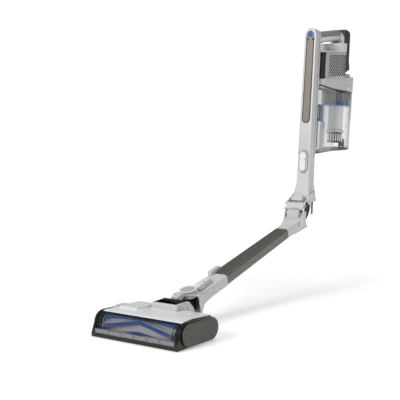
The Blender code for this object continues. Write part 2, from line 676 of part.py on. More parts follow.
def ears(target, sign):
    """Two ears that reach forward from a wand end to its hinge pin; sign +1 is the upper."""
    hinge_half = HINGE_WIDTH / 2
    outline = hull(circle(EAR_R, 16) + [(FACE - 4, sign * 7), (FACE + 20, sign * 13),
                                        (FACE + 14, sign * 36), (FACE - 4, sign * 24)])
    x_in = hinge_half - 2.2
    for side in (-1, 1):
        x = sorted((side * x_in, side * (x_in + EAR_WALL)))
        join(target, prism_x(outline, x[0], x[1]))
    cut(target, prism_x(circle(PIN_R + GAP, 12), -hinge_half - 8, hinge_half + 8))


# ---------------------------------------------------------------- flex hinge
def hinge():
    """Link barrel on two pins, and the ribbed hose that bridges the wands behind it."""
    half = HINGE_WIDTH / 2 - 2.2 - RUN
    r = 8.5
    outline = hull(circle(r, 16, 0, -4) + circle(r, 16, 0, -LINK_LENGTH + 4))
    link = piece("hinge_link", LINK, prism_x(outline, -half, half), "light_abs")
    for z in (0.0, -LINK_LENGTH):
        cut(link, prism_x(circle(PIN_R + GAP, 12, 0, z), -half - 4, half + 4))
    face = HINGE_WIDTH / 2 - 2.2 + EAR_WALL
    for name, z in (("hinge_pin_upper", 0.0), ("hinge_pin_lower", -LINK_LENGTH)):
        profile = [(6.3, -face - 2.2), (6.3, -face - GAP), (PIN_R, -face - GAP), (PIN_R, face + GAP),
                   (6.3, face + GAP), (6.3, face + 2.2)]
        piece(name, LINK, turned(profile, 12, on_x(0.0, z)), "dark_abs", (0.0, 0.0, z))
    flex_hose()


def flex_hose():
    """Hollow hose on a smooth curve from inside the upper wand to inside the lower."""
    lift = math.radians(UPPER_ANGLE - LINK_ANGLE)
    drop = math.radians(WAND_ANGLE - LINK_ANGLE)

    def from_upper(y, z):
        return Vector((y * math.cos(lift) - z * math.sin(lift), y * math.sin(lift) + z * math.cos(lift)))

    def from_lower(y, z):
        return Vector((y * math.cos(drop) - z * math.sin(drop),
                       y * math.sin(drop) + z * math.cos(drop) - LINK_LENGTH))

    mid = FACE + DEPTH / 2
    low_mid = FACE + LOW_DEPTH / 2 - 1
    start, end = from_upper(mid, 14), from_lower(low_mid, -16)
    pull_a, pull_b = from_upper(mid + 4, -18), from_lower(low_mid + 2, 22)
    outer, inner = [], []
    for i in range(9):
        t = i / 8
        s = 1 - t
        point = s ** 3 * start + 3 * s * s * t * pull_a + 3 * s * t * t * pull_b + t ** 3 * end
        way = (s * s * (pull_a - start) + 2 * s * t * (pull_b - pull_a) + t * t * (end - pull_b)).normalized()
        side = Vector((way.y, -way.x))
        for rows, r in ((outer, 11.0), (inner, 9.2)):
            rows.append([(r * math.cos(2 * math.pi * k / 12),
                          point.x + side.x * r * math.sin(2 * math.pi * k / 12),
                          point.y + side.y * r * math.sin(2 * math.pi * k / 12)) for k in range(12)])
    piece("flex_hose", LINK, sleeve(outer, inner), "rubber")


# ---------------------------------------------------------------- upper wand
def upper_wand():
    """Upper wand: flared shell, spigot, ears, back tongue, and the hexagonal release."""
    half = SEAM_WIDTH / 2
    hinge_half = HINGE_WIDTH / 2
    sections = [(9.0, hinge_half, FACE - 10, BACK + 8), (35, 25.5, FACE - 4.5, BACK + 5),
                (62, half + 0.6, FACE - 0.5, BACK + 1.5), (SEAM_Z - GAP, half, FACE, BACK)]
    wand = piece("upper_wand_tube", UPPER, sleeve(tube_rings(sections, 0), tube_rings(sections, WALL)),
                 "light_abs")
    spigot(wand, half, FACE, BACK, SEAM_Z - GAP)
    ears(wand, 1)
    join(wand, box(-19, 19, BACK + 4, BACK + 7, -30, 22))
    cut(wand, box(-12.4, 12.4, BACK - 5, BACK + 14, -40, 35))
    hex_bezel(wand, SEAM_Z - 50)
    hex_button("wand_release_button", UPPER, SEAM_Z - 50)


# ---------------------------------------------------------------- hand vacuum
def deck(y):
    return DECK_Z + INCLINE * (y - BACK)


def band_low(y):
    return BAND_Z + BAND_RISE * (y - BACK)


def band_high(y):
    return BAND_Z + BAND_H + INCLINE * (y - BACK)


def hand_tube():
    """Long front tube with an arched top, its strip, power button and inlet duct."""
    r = TOP_WIDTH / 2
    centre = TUBE_TOP_Z - r
    rings = []
    for y, inset in ((FACE, 3.0), (FACE + 1.2, 0.9), (FACE + 3.2, 0.0), (BACK - 3, 0.0), (BACK, 3.0)):
        rings.append(along_y(arch(SEAM_WIDTH / 2 - inset, r - inset, SEAM_Z, centre), y))
    tube = piece("hand_tube", UPPER, solid(rings), "light_abs")
    hex_pocket(tube, SEAM_Z - 50)
    inner = arch(SEAM_WIDTH / 2 - WALL, r - WALL, SEAM_Z - 5, centre - 6)
    cut(tube, prism_y(inner, FACE + WALL, BACK - WALL))
    low = POWER_Z + STRIP_HALF - 270
    pocket = stadium(STRIP_HALF + GAP, low - GAP, POWER_Z + STRIP_HALF + GAP)
    cut(tube, prism_y(pocket, FACE - 3, FACE + 1.5))
    cut(tube, turned([(POWER_R + RUN, FACE - 4), (POWER_R + RUN, FACE + 8)], 16, on_y(POWER_Z)))
    cut(tube, box(-PORT_HALF, PORT_HALF, BACK - 6, BACK + 4, PORT_LOW, PORT_HIGH))
    strip = piece("display_strip", UPPER, prism_y(stadium(STRIP_HALF, low, POWER_Z + STRIP_HALF),
                                                  FACE - 0.2, FACE + 1.2), "gloss_strip")
    cut(strip, turned([(POWER_R + RUN, FACE - 4), (POWER_R + RUN, FACE + 8)], 16, on_y(POWER_Z)))
    button = [(POWER_R - 1, FACE - 1.8), (POWER_R, FACE - 1.0), (POWER_R, FACE + 4)]
    piece("power_button", UPPER, turned(button, 16, on_y(POWER_Z)), "blue_abs", (0.0, FACE, POWER_Z))
    wide, low_z, high_z = PORT_HALF + 2, PORT_LOW - 2, PORT_HIGH + 2
    outer = [(-wide, low_z), (wide, low_z), (wide, high_z), (-wide, high_z)]
    inner = [(-PORT_HALF, PORT_LOW), (PORT_HALF, PORT_LOW), (PORT_HALF, PORT_HIGH), (-PORT_HALF, PORT_HIGH)]
    y0, y1 = BACK + GAP, CUP_NOSE_Y - GAP
    duct = sleeve([along_y(outer, y0), along_y(outer, y1)], [along_y(inner, y0), along_y(inner, y1)])
    piece("inlet_duct", UPPER, duct, "black_abs")


PORT_HALF = 13.0
PORT_LOW = 252.0
PORT_HIGH = 290.0


def grip_ring(y, upper):
    """Half of the grip's round section at y; the two halves meet on a level seam."""
    middle = 488.5 + 0.205 * (y - BACK)
    high = GRIP_HIGH / 2 + 0.012 * (y - BACK)
    sign = 1 if upper else -1
    points = [(GRIP_HALF, 0.0)] + [(GRIP_HALF * math.cos(a) ** 0.8, high * math.sin(a) ** 0.9)
                                   for a in (0.35, 0.75, 1.15)] + [(0.0, high)]
    points += [(-a, b) for a, b in points[-2::-1]]
    return [(a, y, middle + sign * (b + GAP / 2)) for a, b in points]


def handle():
    """Grip over the finger gap: dark upper half, light lower half, and the trigger."""
    dock = POD_Y + 20
    stations = [BACK + GAP, BACK + 8, BACK + 40, BACK + 85, dock - GAP]
    piece("grip_upper", UPPER, solid([grip_ring(y, True) for y in stations]), "grip")
    lower = piece("grip_lower", UPPER, solid([grip_ring(y, False) for y in stations]), "light_abs")
    y0, y1 = BACK + 12, BACK + 38
    middle = 488.5 + 0.205 * ((y0 + y1) / 2 - BACK)
    cut(lower, box(-6 - RUN, 6 + RUN, y0 - RUN, y1 + RUN, middle - 30, middle - 5))
    wedge = [(y0, middle - GRIP_HIGH / 2 - 5.5), (y1 - 5, middle - GRIP_HIGH / 2 - 0.5),
             (y1, middle - GRIP_HIGH / 2 + 4),
             (y1, middle - 8.6), (y0, middle - 8.6)]
    piece("mode_trigger", UPPER, prism_x(wedge, -6, 6), "dark_abs", (0.0, y0, middle - GRIP_HIGH / 2))


def pod():
    """Pod shell over the motor, with the deck under the finger gap and the battery dock."""
    def outline(inset):
        return circle(POD_R - inset, 24, 0, POD_Y)

    def top(z):
        return z + INCLINE * (0 - (POD_Y - POD_R))

    outer = [ring(outline(0), deck(0), INCLINE), ring(outline(0), top(POD_TOP_Z - 2.5), INCLINE),
             ring(outline(2.5), top(POD_TOP_Z), INCLINE)]
    inner = [ring(outline(WALL), deck(0), INCLINE), ring(outline(WALL), top(POD_TOP_Z - 2.5 - WALL),
                                                         INCLINE)]
    shell = piece("pod_shell", UPPER, pot(outer, inner), "light_abs")
    y0 = BACK + GAP
    plan = hull([(-BRIDGE_HALF - 2, y0), (BRIDGE_HALF + 2, y0)] + circle(POD_R - 0.5, 24, 0, POD_Y))
    join(shell, prism_z(plan, deck(0) + 0.5, deck(0) + 4.1, INCLINE))
    cut(shell, prism_z(circle(POD_R - 8, 24, 0, POD_Y), deck(0) - 4, deck(0) + 8, INCLINE))
    dock = POD_Y + 20
    rise = POD_TOP_Z + INCLINE * (dock - POD_Y + POD_R)
    side = [(dock - 4, rise - 4), (BATTERY_Y - 1.5, rise - 4), (BATTERY_Y - 1.5, rise + 24),
            (dock + 8, rise + 31), (dock, rise + 33), (dock, rise + 6), (dock - 4, rise + 1)]
    join(shell, prism_x(side, -GRIP_HALF - 1, GRIP_HALF + 1))


BRIDGE_HALF = 22.0
BATTERY_Y = POD_Y + POD_R + 1.2        # front of the battery


HOUSE_R = POD_R - 1.9                  # motor housing round the motor
HOUSE_FRONT = 87.0                     # its narrow front, towards the tube
CORNER_X, CORNER_R = 20.0, 6.0
FACET = -13.2                          # direction in which its flat cheeks look, degrees


def house_plan(inset):
    """Plan of the motor housing: round at the back, with flat cheeks that close in to the front."""
    corner_y = HOUSE_FRONT + CORNER_R
    r = CORNER_R - inset
    return hull(circle(HOUSE_R - inset, 28, 0, POD_Y) + circle(r, 12, CORNER_X, corner_y)
                + circle(r, 12, -CORNER_X, corner_y))


def cheek(out, side):
    """Path along one cheek and round the back, `out` mm outside the housing."""
    corner = Vector((CORNER_X, HOUSE_FRONT + CORNER_R))
    middle = Vector((0.0, POD_Y))
    look = Vector((math.cos(math.radians(FACET)), math.sin(math.radians(FACET))))
    first = corner + look * (CORNER_R + out)
    last = middle + look * (HOUSE_R + out)
    points = [first.lerp(last, t) for t in (0.06, 0.5)]
    for k in range(6):
        angle = math.radians(FACET + 13.2 * k)
        points.append(middle + Vector((math.cos(angle), math.sin(angle))) * (HOUSE_R + out))
    return [(side * p.x, p.y) for p in points]


def motor_unit():
    """Bridge, motor housing, two vent grilles, motor and impeller."""
    y0, y1 = BACK + GAP, HOUSE_FRONT - GAP
    plan = [(-BRIDGE_HALF, y0), (BRIDGE_HALF, y0), (BRIDGE_HALF, y1), (-BRIDGE_HALF, y1)]
    rows = [[(a, b, band_high(b) + GAP) for a, b in plan], [(a, b, deck(b) - GAP) for a, b in plan]]
    bridge = piece("bridge_housing", UPPER, solid(rows), "black_abs")
    cut(bridge, box(-BRIDGE_HALF + 3, BRIDGE_HALF - 3, y0 + 3, y1 + 4, BAND_Z + BAND_H + 10, DECK_Z - 4))
    plan = house_plan(0.0)
    rows = [[(a, b, band_high(b) + GAP) for a, b in plan], [(a, b, deck(b) - GAP) for a, b in plan]]
    housing = piece("motor_housing", UPPER, solid(rows), "silver_abs")
    cut(housing, prism_z(house_plan(WALL), BAND_Z, DECK_Z + 60))
    for side in (-1, 1):
        x = sorted((side * 20, side * (POD_R + 4)))
        plan = [(x[0], HOUSE_FRONT + 13), (x[1], HOUSE_FRONT + 13), (x[1], POD_Y + 32), (x[0], POD_Y + 32)]
        cut(housing, prism_z(plan, band_high(0) + 9, deck(0) - 9, INCLINE))
    for name, side in (("vent_grille_left", -1), ("vent_grille_right", 1)):
        loop = cheek(1.8, side) + cheek(GAP, side)[::-1]
        rows = [[(a, b, band_high(b) + 3) for a, b in loop], [(a, b, deck(b) - 4) for a, b in loop]]
        piece(name, UPPER, solid(rows), "dark_abs")
    low = band_high(POD_Y + POD_R) + 4
    high = deck(POD_Y - POD_R) - 6
    fan_low = low + 1
    piece("motor_can", UPPER, lathe([(3.2, fan_low + 12), (MOTOR_R, fan_low + 12), (MOTOR_R, high - 4),
                                     (3.2, high - 4)], 20,
                                    on_z(POD_Y)), "steel")
    blades = 9
    star = []
    for i in range(blades):
        for share, r in ((0.0, 9.0), (0.42, MOTOR_R - 2), (0.56, MOTOR_R - 2), (0.55, 9.0)):
            angle = (i + share) * 2 * math.pi / blades
            star.append((r * math.cos(angle), POD_Y + r * math.sin(angle)))
    axis = (0.0, POD_Y, fan_low)
    fan = piece("impeller", UPPER, prism_z(star, fan_low, fan_low + 9), "light_abs", axis)
    join(fan, turned([(2.5, fan_low + 2), (2.5, high - 10)], 10, on_z(POD_Y)))


def band_and_battery():
    """Silver band that carries everything, the cup release, the battery and its latch."""
    plan = hull(circle(30, 20, 0, BACK + GAP + 30) + circle(CUP_R + 1, 28, 0, CUP_Y))
    rows = [ring(plan, band_low(0), BAND_RISE), ring(plan, band_high(0), INCLINE)]
    band = piece("chassis_band", UPPER, solid(rows), "silver_abs")
    foot = [(BATTERY_Y, band_high(BATTERY_Y) - 6), (CUP_Y + CUP_R - 3, band_high(CUP_Y) - 8),
            (CUP_Y + CUP_R + 1, band_high(CUP_Y) + 4),
            (BATTERY_Y + BATTERY_DEPTH + 3, BATTERY_Z - 5), (BATTERY_Y, BATTERY_Z - 14)]
    join(band, prism_x(foot, -BATTERY_HALF - 2, BATTERY_HALF + 2))
    cut(band, turned([(33, BAND_Z - 20), (33, BAND_Z + 8)], 20, on_z(CUP_Y - 12)))
    cut(band, turned([(27, BAND_Z - 20), (27, BAND_Z + 60)], 20, on_z(POD_Y + 6)))
    mid = band_low(CUP_Y - 20) + BAND_H / 2
    x_out = CUP_R + 1
    cut(band, box(x_out - 7, x_out + 5, CUP_Y - 28 - RUN, CUP_Y - 12 + RUN, mid - 6 - RUN, mid + 6 + RUN))
    catch = box(x_out - 4.5, x_out + 2, CUP_Y - 28, CUP_Y - 12, mid - 6, mid + 6)
    piece("cup_release_button", UPPER, catch, "light_abs", (x_out, CUP_Y - 20, mid))
    y0, y1, top = BATTERY_Y, BATTERY_Y + BATTERY_DEPTH, BATTERY_Z + BATTERY_LENGTH
    side = [(y0, BATTERY_Z), (y0 + 20, BATTERY_Z - 2), (y1 + 9, BATTERY_Z + 9), (y1 + 1, BATTERY_Z + 34),
            (y1, top - 8), (y1 - 6, top - 1), (y0 + 6, top + 2), (y0, top - 3)]
    case = piece("battery_pack", UPPER, prism_x(side, -BATTERY_HALF, BATTERY_HALF), "black_abs")
    soften = case.modifiers.new("soften", "BEVEL")
    soften.width = 0.003
    soften.segments = 2
    soften.limit_method = "ANGLE"
    soften.angle_limit = math.radians(50)
    z = BATTERY_Z + 52
    cut(case, box(-9 - RUN, 9 + RUN, y1 - 4, y1 + 6, z - 10 - RUN, z + 10 + RUN))
    piece("battery_latch", UPPER, box(-9, 9, y1 - 1.8, y1 + 2.2, z - 10, z + 10), "dark_abs", (0.0, y1, z))


BATTERY_Z = 411.0


def cup_top(y):
    return band_low(y) - 3.2


def door(y):
    return DOOR_Z + INCLINE * (y - CUP_NOSE_Y)


def dust_cup():
    """Clear cup with its seal, filter, shroud, cyclone, screen, blue port, door and latch."""
    def wall(inset):
        plan = keyhole(inset)
        return [[(a, b, door(b)) for a, b in plan], [(a, b, cup_top(b)) for a, b in plan]]

    cup = piece("dust_cup", UPPER, sleeve(wall(0), wall(CUP_WALL)), "clear")
    cut(cup, box(-PORT_HALF, PORT_HALF, CUP_NOSE_Y - 4, CUP_NOSE_Y + 4, PORT_LOW, PORT_HIGH))
    hinge_y, hinge_z = CUP_NOSE_Y - 5.2, door(CUP_NOSE_Y) - 1.5
    for side in (-1, 1):
        lug = hull(circle(3.4, 10, hinge_y, hinge_z) + [(CUP_NOSE_Y + 1, hinge_z + 3),
                                                        (CUP_NOSE_Y + 1, hinge_z + 10)])
        x = sorted((side * 7.4, side * 12))
        join(cup, prism_x(lug, x[0], x[1]))
    cut(cup, prism_x(circle(1.5 + GAP, 10, hinge_y, hinge_z), -14, 14))
    piece("door_pin", UPPER, turned([(1.5, -12.4), (1.5, 12.4)], 10, on_x(hinge_y, hinge_z)), "steel")
    gasket = [[[(a, b, cup_top(b) + GAP) for a, b in keyhole(i)],
               [(a, b, band_low(b) - GAP) for a, b in keyhole(i)]] for i in (0.6, 5.0)]
    piece("cup_seal", UPPER, sleeve(*gasket), "rubber")
    top = cup_top(CUP_Y + CUP_R) - 0.5
    shroud = [(37.0, top - 24), (39.5, top - 24), (39.5, top), (37.0, top)]
    piece("filter_shroud", UPPER, lathe(shroud, 24, on_z(CUP_Y)), "bronze_clear")
    piece("foam_filter", UPPER, turned([(36.4, top - 22), (36.4, top - 3)], 20, on_z(CUP_Y)), "foam")
    ring_low = top - 24 - GAP - 13
    blue = [(24.0, ring_low), (41.0, ring_low), (41.0, top - 24 - GAP), (24.0, top - 24 - GAP)]
    piece("blue_ring", UPPER, lathe(blue, 24, on_z(CUP_Y)), "blue_abs")
    low = door(CUP_Y + 30) + 42
    column = [(20.5, low + 2), (31.0, low), (31.0, low + 3), (23.0, low + 9), (23.0, ring_low - GAP),
              (20.5, ring_low - GAP)]
    piece("cyclone_cone", UPPER, lathe(column, 20, on_z(CUP_Y)), "white_abs")
    screen = [(20.5, low - 30), (23.0, low - 30), (23.0, low - GAP), (20.5, low - GAP)]
    piece("screen_cage", UPPER, lathe(screen, 20, on_z(CUP_Y)), "dark_abs")
    y0, y1 = CUP_NOSE_Y + CUP_WALL + 3.2, CUP_NOSE_Y + 30
    outer = [(-PORT_HALF - 3, PORT_LOW - 6), (PORT_HALF + 3, PORT_LOW - 6),
             (PORT_HALF + 3, PORT_HIGH + 4), (-PORT_HALF - 3, PORT_HIGH + 4)]
    inner = [(-PORT_HALF, PORT_LOW), (PORT_HALF, PORT_LOW), (PORT_HALF, PORT_HIGH), (-PORT_HALF, PORT_HIGH)]
    port = sleeve([along_y(outer, y0), along_y(outer, y1)], [along_y(inner, y0), along_y(inner, y1)])
    piece("inlet_port", UPPER, port, "blue_abs")

    rows = [[(a, b, door(b) - GAP - DOOR_T) for a, b in keyhole(0.0)],
            [(a, b, door(b) - GAP) for a, b in keyhole(0.0)]]
    axis = (0.0, hinge_y, hinge_z)
    flap = piece("cup_door", UPPER, solid(rows), "clear", axis)
    tab = hull(circle(3.4, 10, hinge_y, hinge_z) + [(CUP_NOSE_Y + 2, hinge_z + 0.2),
                                                    (CUP_NOSE_Y + 2, hinge_z - 3.2)])
    join(flap, prism_x(tab, -6.8, 6.8))
    cut(flap, prism_x(circle(1.5 + GAP, 10, hinge_y, hinge_z), -9, 9))
    back = CUP_Y + CUP_R
    pivot_y, pivot_z = back + 3.4, door(back) - GAP - DOOR_T / 2
    lug = hull(circle(3.0, 10, pivot_y, pivot_z) + [(back - 2, pivot_z - 2), (back - 2, pivot_z + 2)])
    join(flap, prism_x(lug, -5, 5))
    cut(flap, prism_x(circle(1.2 + RUN, 10, pivot_y, pivot_z), -6, 6))
    arm = [(pivot_y - 2.4, pivot_z - 3), (pivot_y + 2.4, pivot_z - 3), (pivot_y + 1.6, pivot_z + 24),
           (pivot_y - 1.6, pivot_z + 27),
           (pivot_y - 2.8, pivot_z + 24)]
    latch = piece("door_latch", UPPER, prism_x(arm, -9, 9), "dark_abs", (0.0, pivot_y, pivot_z))
    cut(latch, box(-5.5, 5.5, pivot_y - 5, pivot_y + 5, pivot_z - 5, pivot_z + 4))
    join(latch, turned([(1.2, -8.5), (1.2, 8.5)], 10, on_x(pivot_y, pivot_z)))


# ---------------------------------------------------------------- build
nozzle_base()
nozzle_shells()
pivot_bracket()
brush_drive()
lower_wand()
neck()
knuckle()
hinge()
hand_tube()
upper_wand()
handle()
pod()
motor_unit()
band_and_battery()
dust_cup()
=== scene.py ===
import json
import math
import bpy
import bmesh
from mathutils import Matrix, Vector
from mathutils.bvhtree import BVHTree


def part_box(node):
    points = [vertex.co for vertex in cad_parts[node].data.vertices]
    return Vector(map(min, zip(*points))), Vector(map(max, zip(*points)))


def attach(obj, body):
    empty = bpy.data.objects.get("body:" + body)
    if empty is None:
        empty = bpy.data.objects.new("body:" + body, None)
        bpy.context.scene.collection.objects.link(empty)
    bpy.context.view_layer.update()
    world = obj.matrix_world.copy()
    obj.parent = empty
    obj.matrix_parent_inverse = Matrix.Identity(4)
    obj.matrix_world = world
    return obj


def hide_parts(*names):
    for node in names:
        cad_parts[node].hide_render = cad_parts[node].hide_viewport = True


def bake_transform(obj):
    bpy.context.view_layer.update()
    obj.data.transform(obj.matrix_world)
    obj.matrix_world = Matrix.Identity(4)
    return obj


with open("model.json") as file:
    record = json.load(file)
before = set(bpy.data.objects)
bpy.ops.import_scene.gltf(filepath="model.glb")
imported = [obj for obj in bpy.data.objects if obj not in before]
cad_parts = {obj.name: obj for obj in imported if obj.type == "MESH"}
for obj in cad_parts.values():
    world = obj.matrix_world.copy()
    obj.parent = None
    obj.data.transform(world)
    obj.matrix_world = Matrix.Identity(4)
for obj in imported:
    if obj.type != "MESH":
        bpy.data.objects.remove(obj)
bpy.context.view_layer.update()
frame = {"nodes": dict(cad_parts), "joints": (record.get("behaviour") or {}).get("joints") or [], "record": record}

scene = bpy.context.scene
scene.view_settings.view_transform = "Standard"

# ---------------------------------------------------------------- studio
# A white seamless floor under three large soft panels, in a bright surround.
# The camera stands low, in front of the nozzle and to its right, and looks a little down.
MM = 0.001
CAMERA_AT = Vector((1.2431, -1.5819, 0.5089))
AZIMUTH, ELEVATION = math.radians(34.6), math.radians(5.7)
SENSOR, LENS = 36.0, 79.695
SHIFT_X, SHIFT_Y = -0.03175, 0.00775
back = Vector((math.sin(AZIMUTH) * math.cos(ELEVATION), -math.cos(AZIMUTH) * math.cos(ELEVATION),
               math.sin(ELEVATION)))
camera = bpy.data.objects.new("camera", bpy.data.cameras.new("camera"))
camera.location = CAMERA_AT
camera.rotation_euler = back.to_track_quat("Z", "Y").to_euler()
camera.data.sensor_width = SENSOR
camera.data.lens = LENS
camera.data.shift_x = SHIFT_X
camera.data.shift_y = SHIFT_Y
scene.collection.objects.link(camera)
scene.camera = camera


def linear(colour):
    """sRGB hex to linear RGBA."""
    parts = [int(colour[i:i + 2], 16) / 255 for i in (1, 3, 5)]
    return [c / 12.92 if c <= 0.04045 else ((c + 0.055) / 1.055) ** 2.4 for c in parts] + [1.0]


def add(tree, kind, sockets=None, **settings):
    """Adds a node with its settings, values and links."""
    node = tree.nodes.new(kind)
    for key, value in settings.items():
        setattr(node, key, value)
    for key, value in (sockets or {}).items():
        if isinstance(value, bpy.types.NodeSocket):
            tree.links.new(value, node.inputs[key])
        else:
            node.inputs[key].default_value = value
    return node


def panel(name, at, towards, size, watts):
    """A soft rectangular lamp that faces a point."""
    lamp = bpy.data.objects.new(name, bpy.data.lights.new(name, "AREA"))
    lamp.data.shape = "RECTANGLE"
    lamp.data.size, lamp.data.size_y = size
    lamp.data.energy = watts
    lamp.location = at
    lamp.rotation_euler = (Vector(at) - Vector(towards)).to_track_quat("Z", "Y").to_euler()
    scene.collection.objects.link(lamp)


panel("key_panel", (-0.9, -3.2, 2.3), (0, 0.3, 0.35), (1.5, 1.5), 98)
panel("right_panel", (3.2, 0.9, 1.5), (0, 0.5, 0.4), (0.7, 2.0), 7)
panel("top_panel", (0.2, 0.8, 3.2), (0, 0.4, 0), (2.6, 2.6), 48)

# The surround looks white, but lights the object only a little, so that its sides keep their shade.
SURROUND_LIGHT, SURROUND_WHITE = 0.20, 1.05
surround = bpy.data.worlds.new("surround")
surround.use_nodes = True
sky = surround.node_tree
sight = add(sky, "ShaderNodeLightPath")
glow = add(sky, "ShaderNodeMapRange", {"Value": sight.outputs["Is Camera Ray"],
                                       "To Min": SURROUND_LIGHT, "To Max": SURROUND_WHITE})
sky.nodes["Background"].inputs["Color"].default_value = (1.0, 1.0, 1.0, 1.0)
sky.links.new(glow.outputs["Result"], sky.nodes["Background"].inputs["Strength"])
scene.world = surround

FLOOR_HALF, FLOOR_FRONT, FLOOR_BACK = 14, -6, 40
floor_mesh = bpy.data.meshes.new("studio_floor")
floor_mesh.from_pydata([(-FLOOR_HALF, FLOOR_FRONT, 0), (FLOOR_HALF, FLOOR_FRONT, 0),
                        (FLOOR_HALF, FLOOR_BACK, 0), (-FLOOR_HALF, FLOOR_BACK, 0)], [], [(0, 1, 2, 3)])
studio_floor = bpy.data.objects.new("studio_floor", floor_mesh)
scene.collection.objects.link(studio_floor)
paper = bpy.data.materials.new("white_studio_paper")
paper.use_nodes = True
sheet = paper.node_tree.nodes["Principled BSDF"]
coords = add(paper.node_tree, "ShaderNodeTexCoord")
mottle = add(paper.node_tree, "ShaderNodeTexNoise", {"Vector": coords.outputs["Object"], "Scale": 3.0})
tint = add(paper.node_tree, "ShaderNodeMix",
           {0: mottle.outputs["Fac"], 6: linear("#f7f7f7"), 7: linear("#fdfdfd")}, data_type="RGBA")
paper.node_tree.links.new(tint.outputs[2], sheet.inputs["Base Color"])
sheet.inputs["Roughness"].default_value = 0.30
# Painted light: the floor glows by its distance from the object, faintly near it and strongly further off, so that
# the far floor looks evenly lit white.
reach = add(paper.node_tree, "ShaderNodeVectorMath", {0: coords.outputs["Object"]}, operation="LENGTH")
floor_glow = add(paper.node_tree, "ShaderNodeMapRange",
            {"Value": reach.outputs["Value"], "From Min": 0.5, "From Max": 2.4,
             "To Min": 0.36, "To Max": 0.90}, interpolation_type="SMOOTHSTEP")
sheet.inputs["Emission Color"].default_value = (1.0, 1.0, 1.0, 1.0)
paper.node_tree.links.new(floor_glow.outputs["Result"], sheet.inputs["Emission Strength"])
studio_floor.data.materials.append(paper)

# ---------------------------------------------------------------- nozzle chassis
# Glass-filled ABS floor plate with the front lip and the two dark end rings, one moulding.
# Screwed up into the top cover.
record = frame["record"]
BODY_OF = {node: body for body, nodes in record["behaviour"]["bodies"].items() for node in nodes}
JOINT = {joint["name"]: joint for joint in frame["joints"]}


def as_object(name, mesh, material, body, stands_for=()):
    """Puts a finished mesh on its body, with its material."""
    thing = bpy.data.objects.new(name, mesh)
    scene.collection.objects.link(thing)
    mesh.materials.clear()
    mesh.materials.append(material)
    if body:
        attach(thing, body)
    if stands_for:
        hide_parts(*stands_for)
    return thing


def baked(thing):
    """The object's evaluated mesh, with its modifiers applied."""
    bpy.context.view_layer.update()
    mesh = bpy.data.meshes.new_from_object(thing.evaluated_get(bpy.context.evaluated_depsgraph_get()))
    bpy.data.objects.remove(thing)
    return mesh


SHARP = math.radians(30)


def softened(bm, edge, segments=2):
    """Rounds the hard edges of a closed solid and smooths its shading."""
    bmesh.ops.recalc_face_normals(bm, faces=bm.faces)
    mesh = bpy.data.meshes.new("softened")
    bm.to_mesh(mesh)
    bm.free()
    thing = bpy.data.objects.new("softened", mesh)
    scene.collection.objects.link(thing)
    if edge:
        bevel = thing.modifiers.new("edge", "BEVEL")
        bevel.width = edge * MM
        bevel.segments = segments
        bevel.limit_method = "ANGLE"
        bevel.angle_limit = SHARP
    mesh.shade_smooth()
    weigh = thing.modifiers.new("weigh", "WEIGHTED_NORMAL")
    weigh.keep_sharp = True
    return baked(thing)


def dressed(node, material, edge=0.5, segments=2):
    """A CAD piece with its doubles merged, its edges rounded and its shading smooth."""
    bm = bmesh.new()
    bm.from_mesh(frame["nodes"][node].data)
    bmesh.ops.remove_doubles(bm, verts=bm.verts, dist=0.00002)
    bmesh.ops.dissolve_limit(bm, angle_limit=math.radians(0.6), verts=bm.verts, edges=bm.edges)
    return as_object(node + "_finish", softened(bm, edge, segments), material, BODY_OF[node], (node,))


def moulded(name, colour, roughness, grain=0.6, depth=0.03, vary=0.05, metallic=0.0, coat=0.0, specular=0.5):
    """Moulded or painted plastic: a faint mottle, uneven gloss and a spark-eroded grain of `grain` mm."""
    made = bpy.data.materials.new(name)
    made.use_nodes = True
    tree = made.node_tree
    shader = tree.nodes["Principled BSDF"]
    place = add(tree, "ShaderNodeTexCoord")
    broad = add(tree, "ShaderNodeTexNoise", {"Vector": place.outputs["Object"], "Scale": 14.0, "Detail": 3.0})
    fine = add(tree, "ShaderNodeTexNoise",
               {"Vector": place.outputs["Object"], "Scale": 1000.0 / grain, "Detail": 2.0})
    base = linear(colour)
    low = [c * (1 - vary) for c in base[:3]] + [1.0]
    high = [min(1.0, c * (1 + vary)) for c in base[:3]] + [1.0]
    shade = add(tree, "ShaderNodeMix", {0: broad.outputs["Fac"], 6: low, 7: high}, data_type="RGBA")
    gloss = add(tree, "ShaderNodeMapRange",
                {"Value": broad.outputs["Fac"], "From Min": 0.3, "From Max": 0.7,
                 "To Min": roughness * 0.88, "To Max": min(1.0, roughness * 1.12)})
    relief = add(tree, "ShaderNodeBump",
                 {"Height": fine.outputs["Fac"], "Strength": depth, "Distance": 0.0004})
    tree.links.new(shade.outputs[2], shader.inputs["Base Color"])
    tree.links.new(gloss.outputs["Result"], shader.inputs["Roughness"])
    tree.links.new(relief.outputs["Normal"], shader.inputs["Normal"])
    shader.inputs["Metallic"].default_value = metallic
    shader.inputs["IOR"].default_value = 1.53
    shader.inputs["Specular IOR Level"].default_value = specular
    shader.inputs["Coat Weight"].default_value = coat
    return made


black_gloss = moulded("black_glass_filled_abs", "#131312", 0.22, grain=1.0, depth=0.03,
                      coat=0.1, specular=0.3)
dressed("nozzle_base", black_gloss, 0.9, segments=3)

# ---------------------------------------------------------------- end caps
# Textured charcoal ABS plugs that close the nozzle's two ends, with a fine coin edge.
# Each snaps over its ring; the left one opens to draw the brush roll.
charcoal_abs = moulded("charcoal_abs_spark_eroded", "#4a4942", 0.50, grain=0.9, depth=0.10)
for cap in ("end_cap_left", "end_cap_right"):
    dressed(cap, charcoal_abs, 1.2, segments=3)

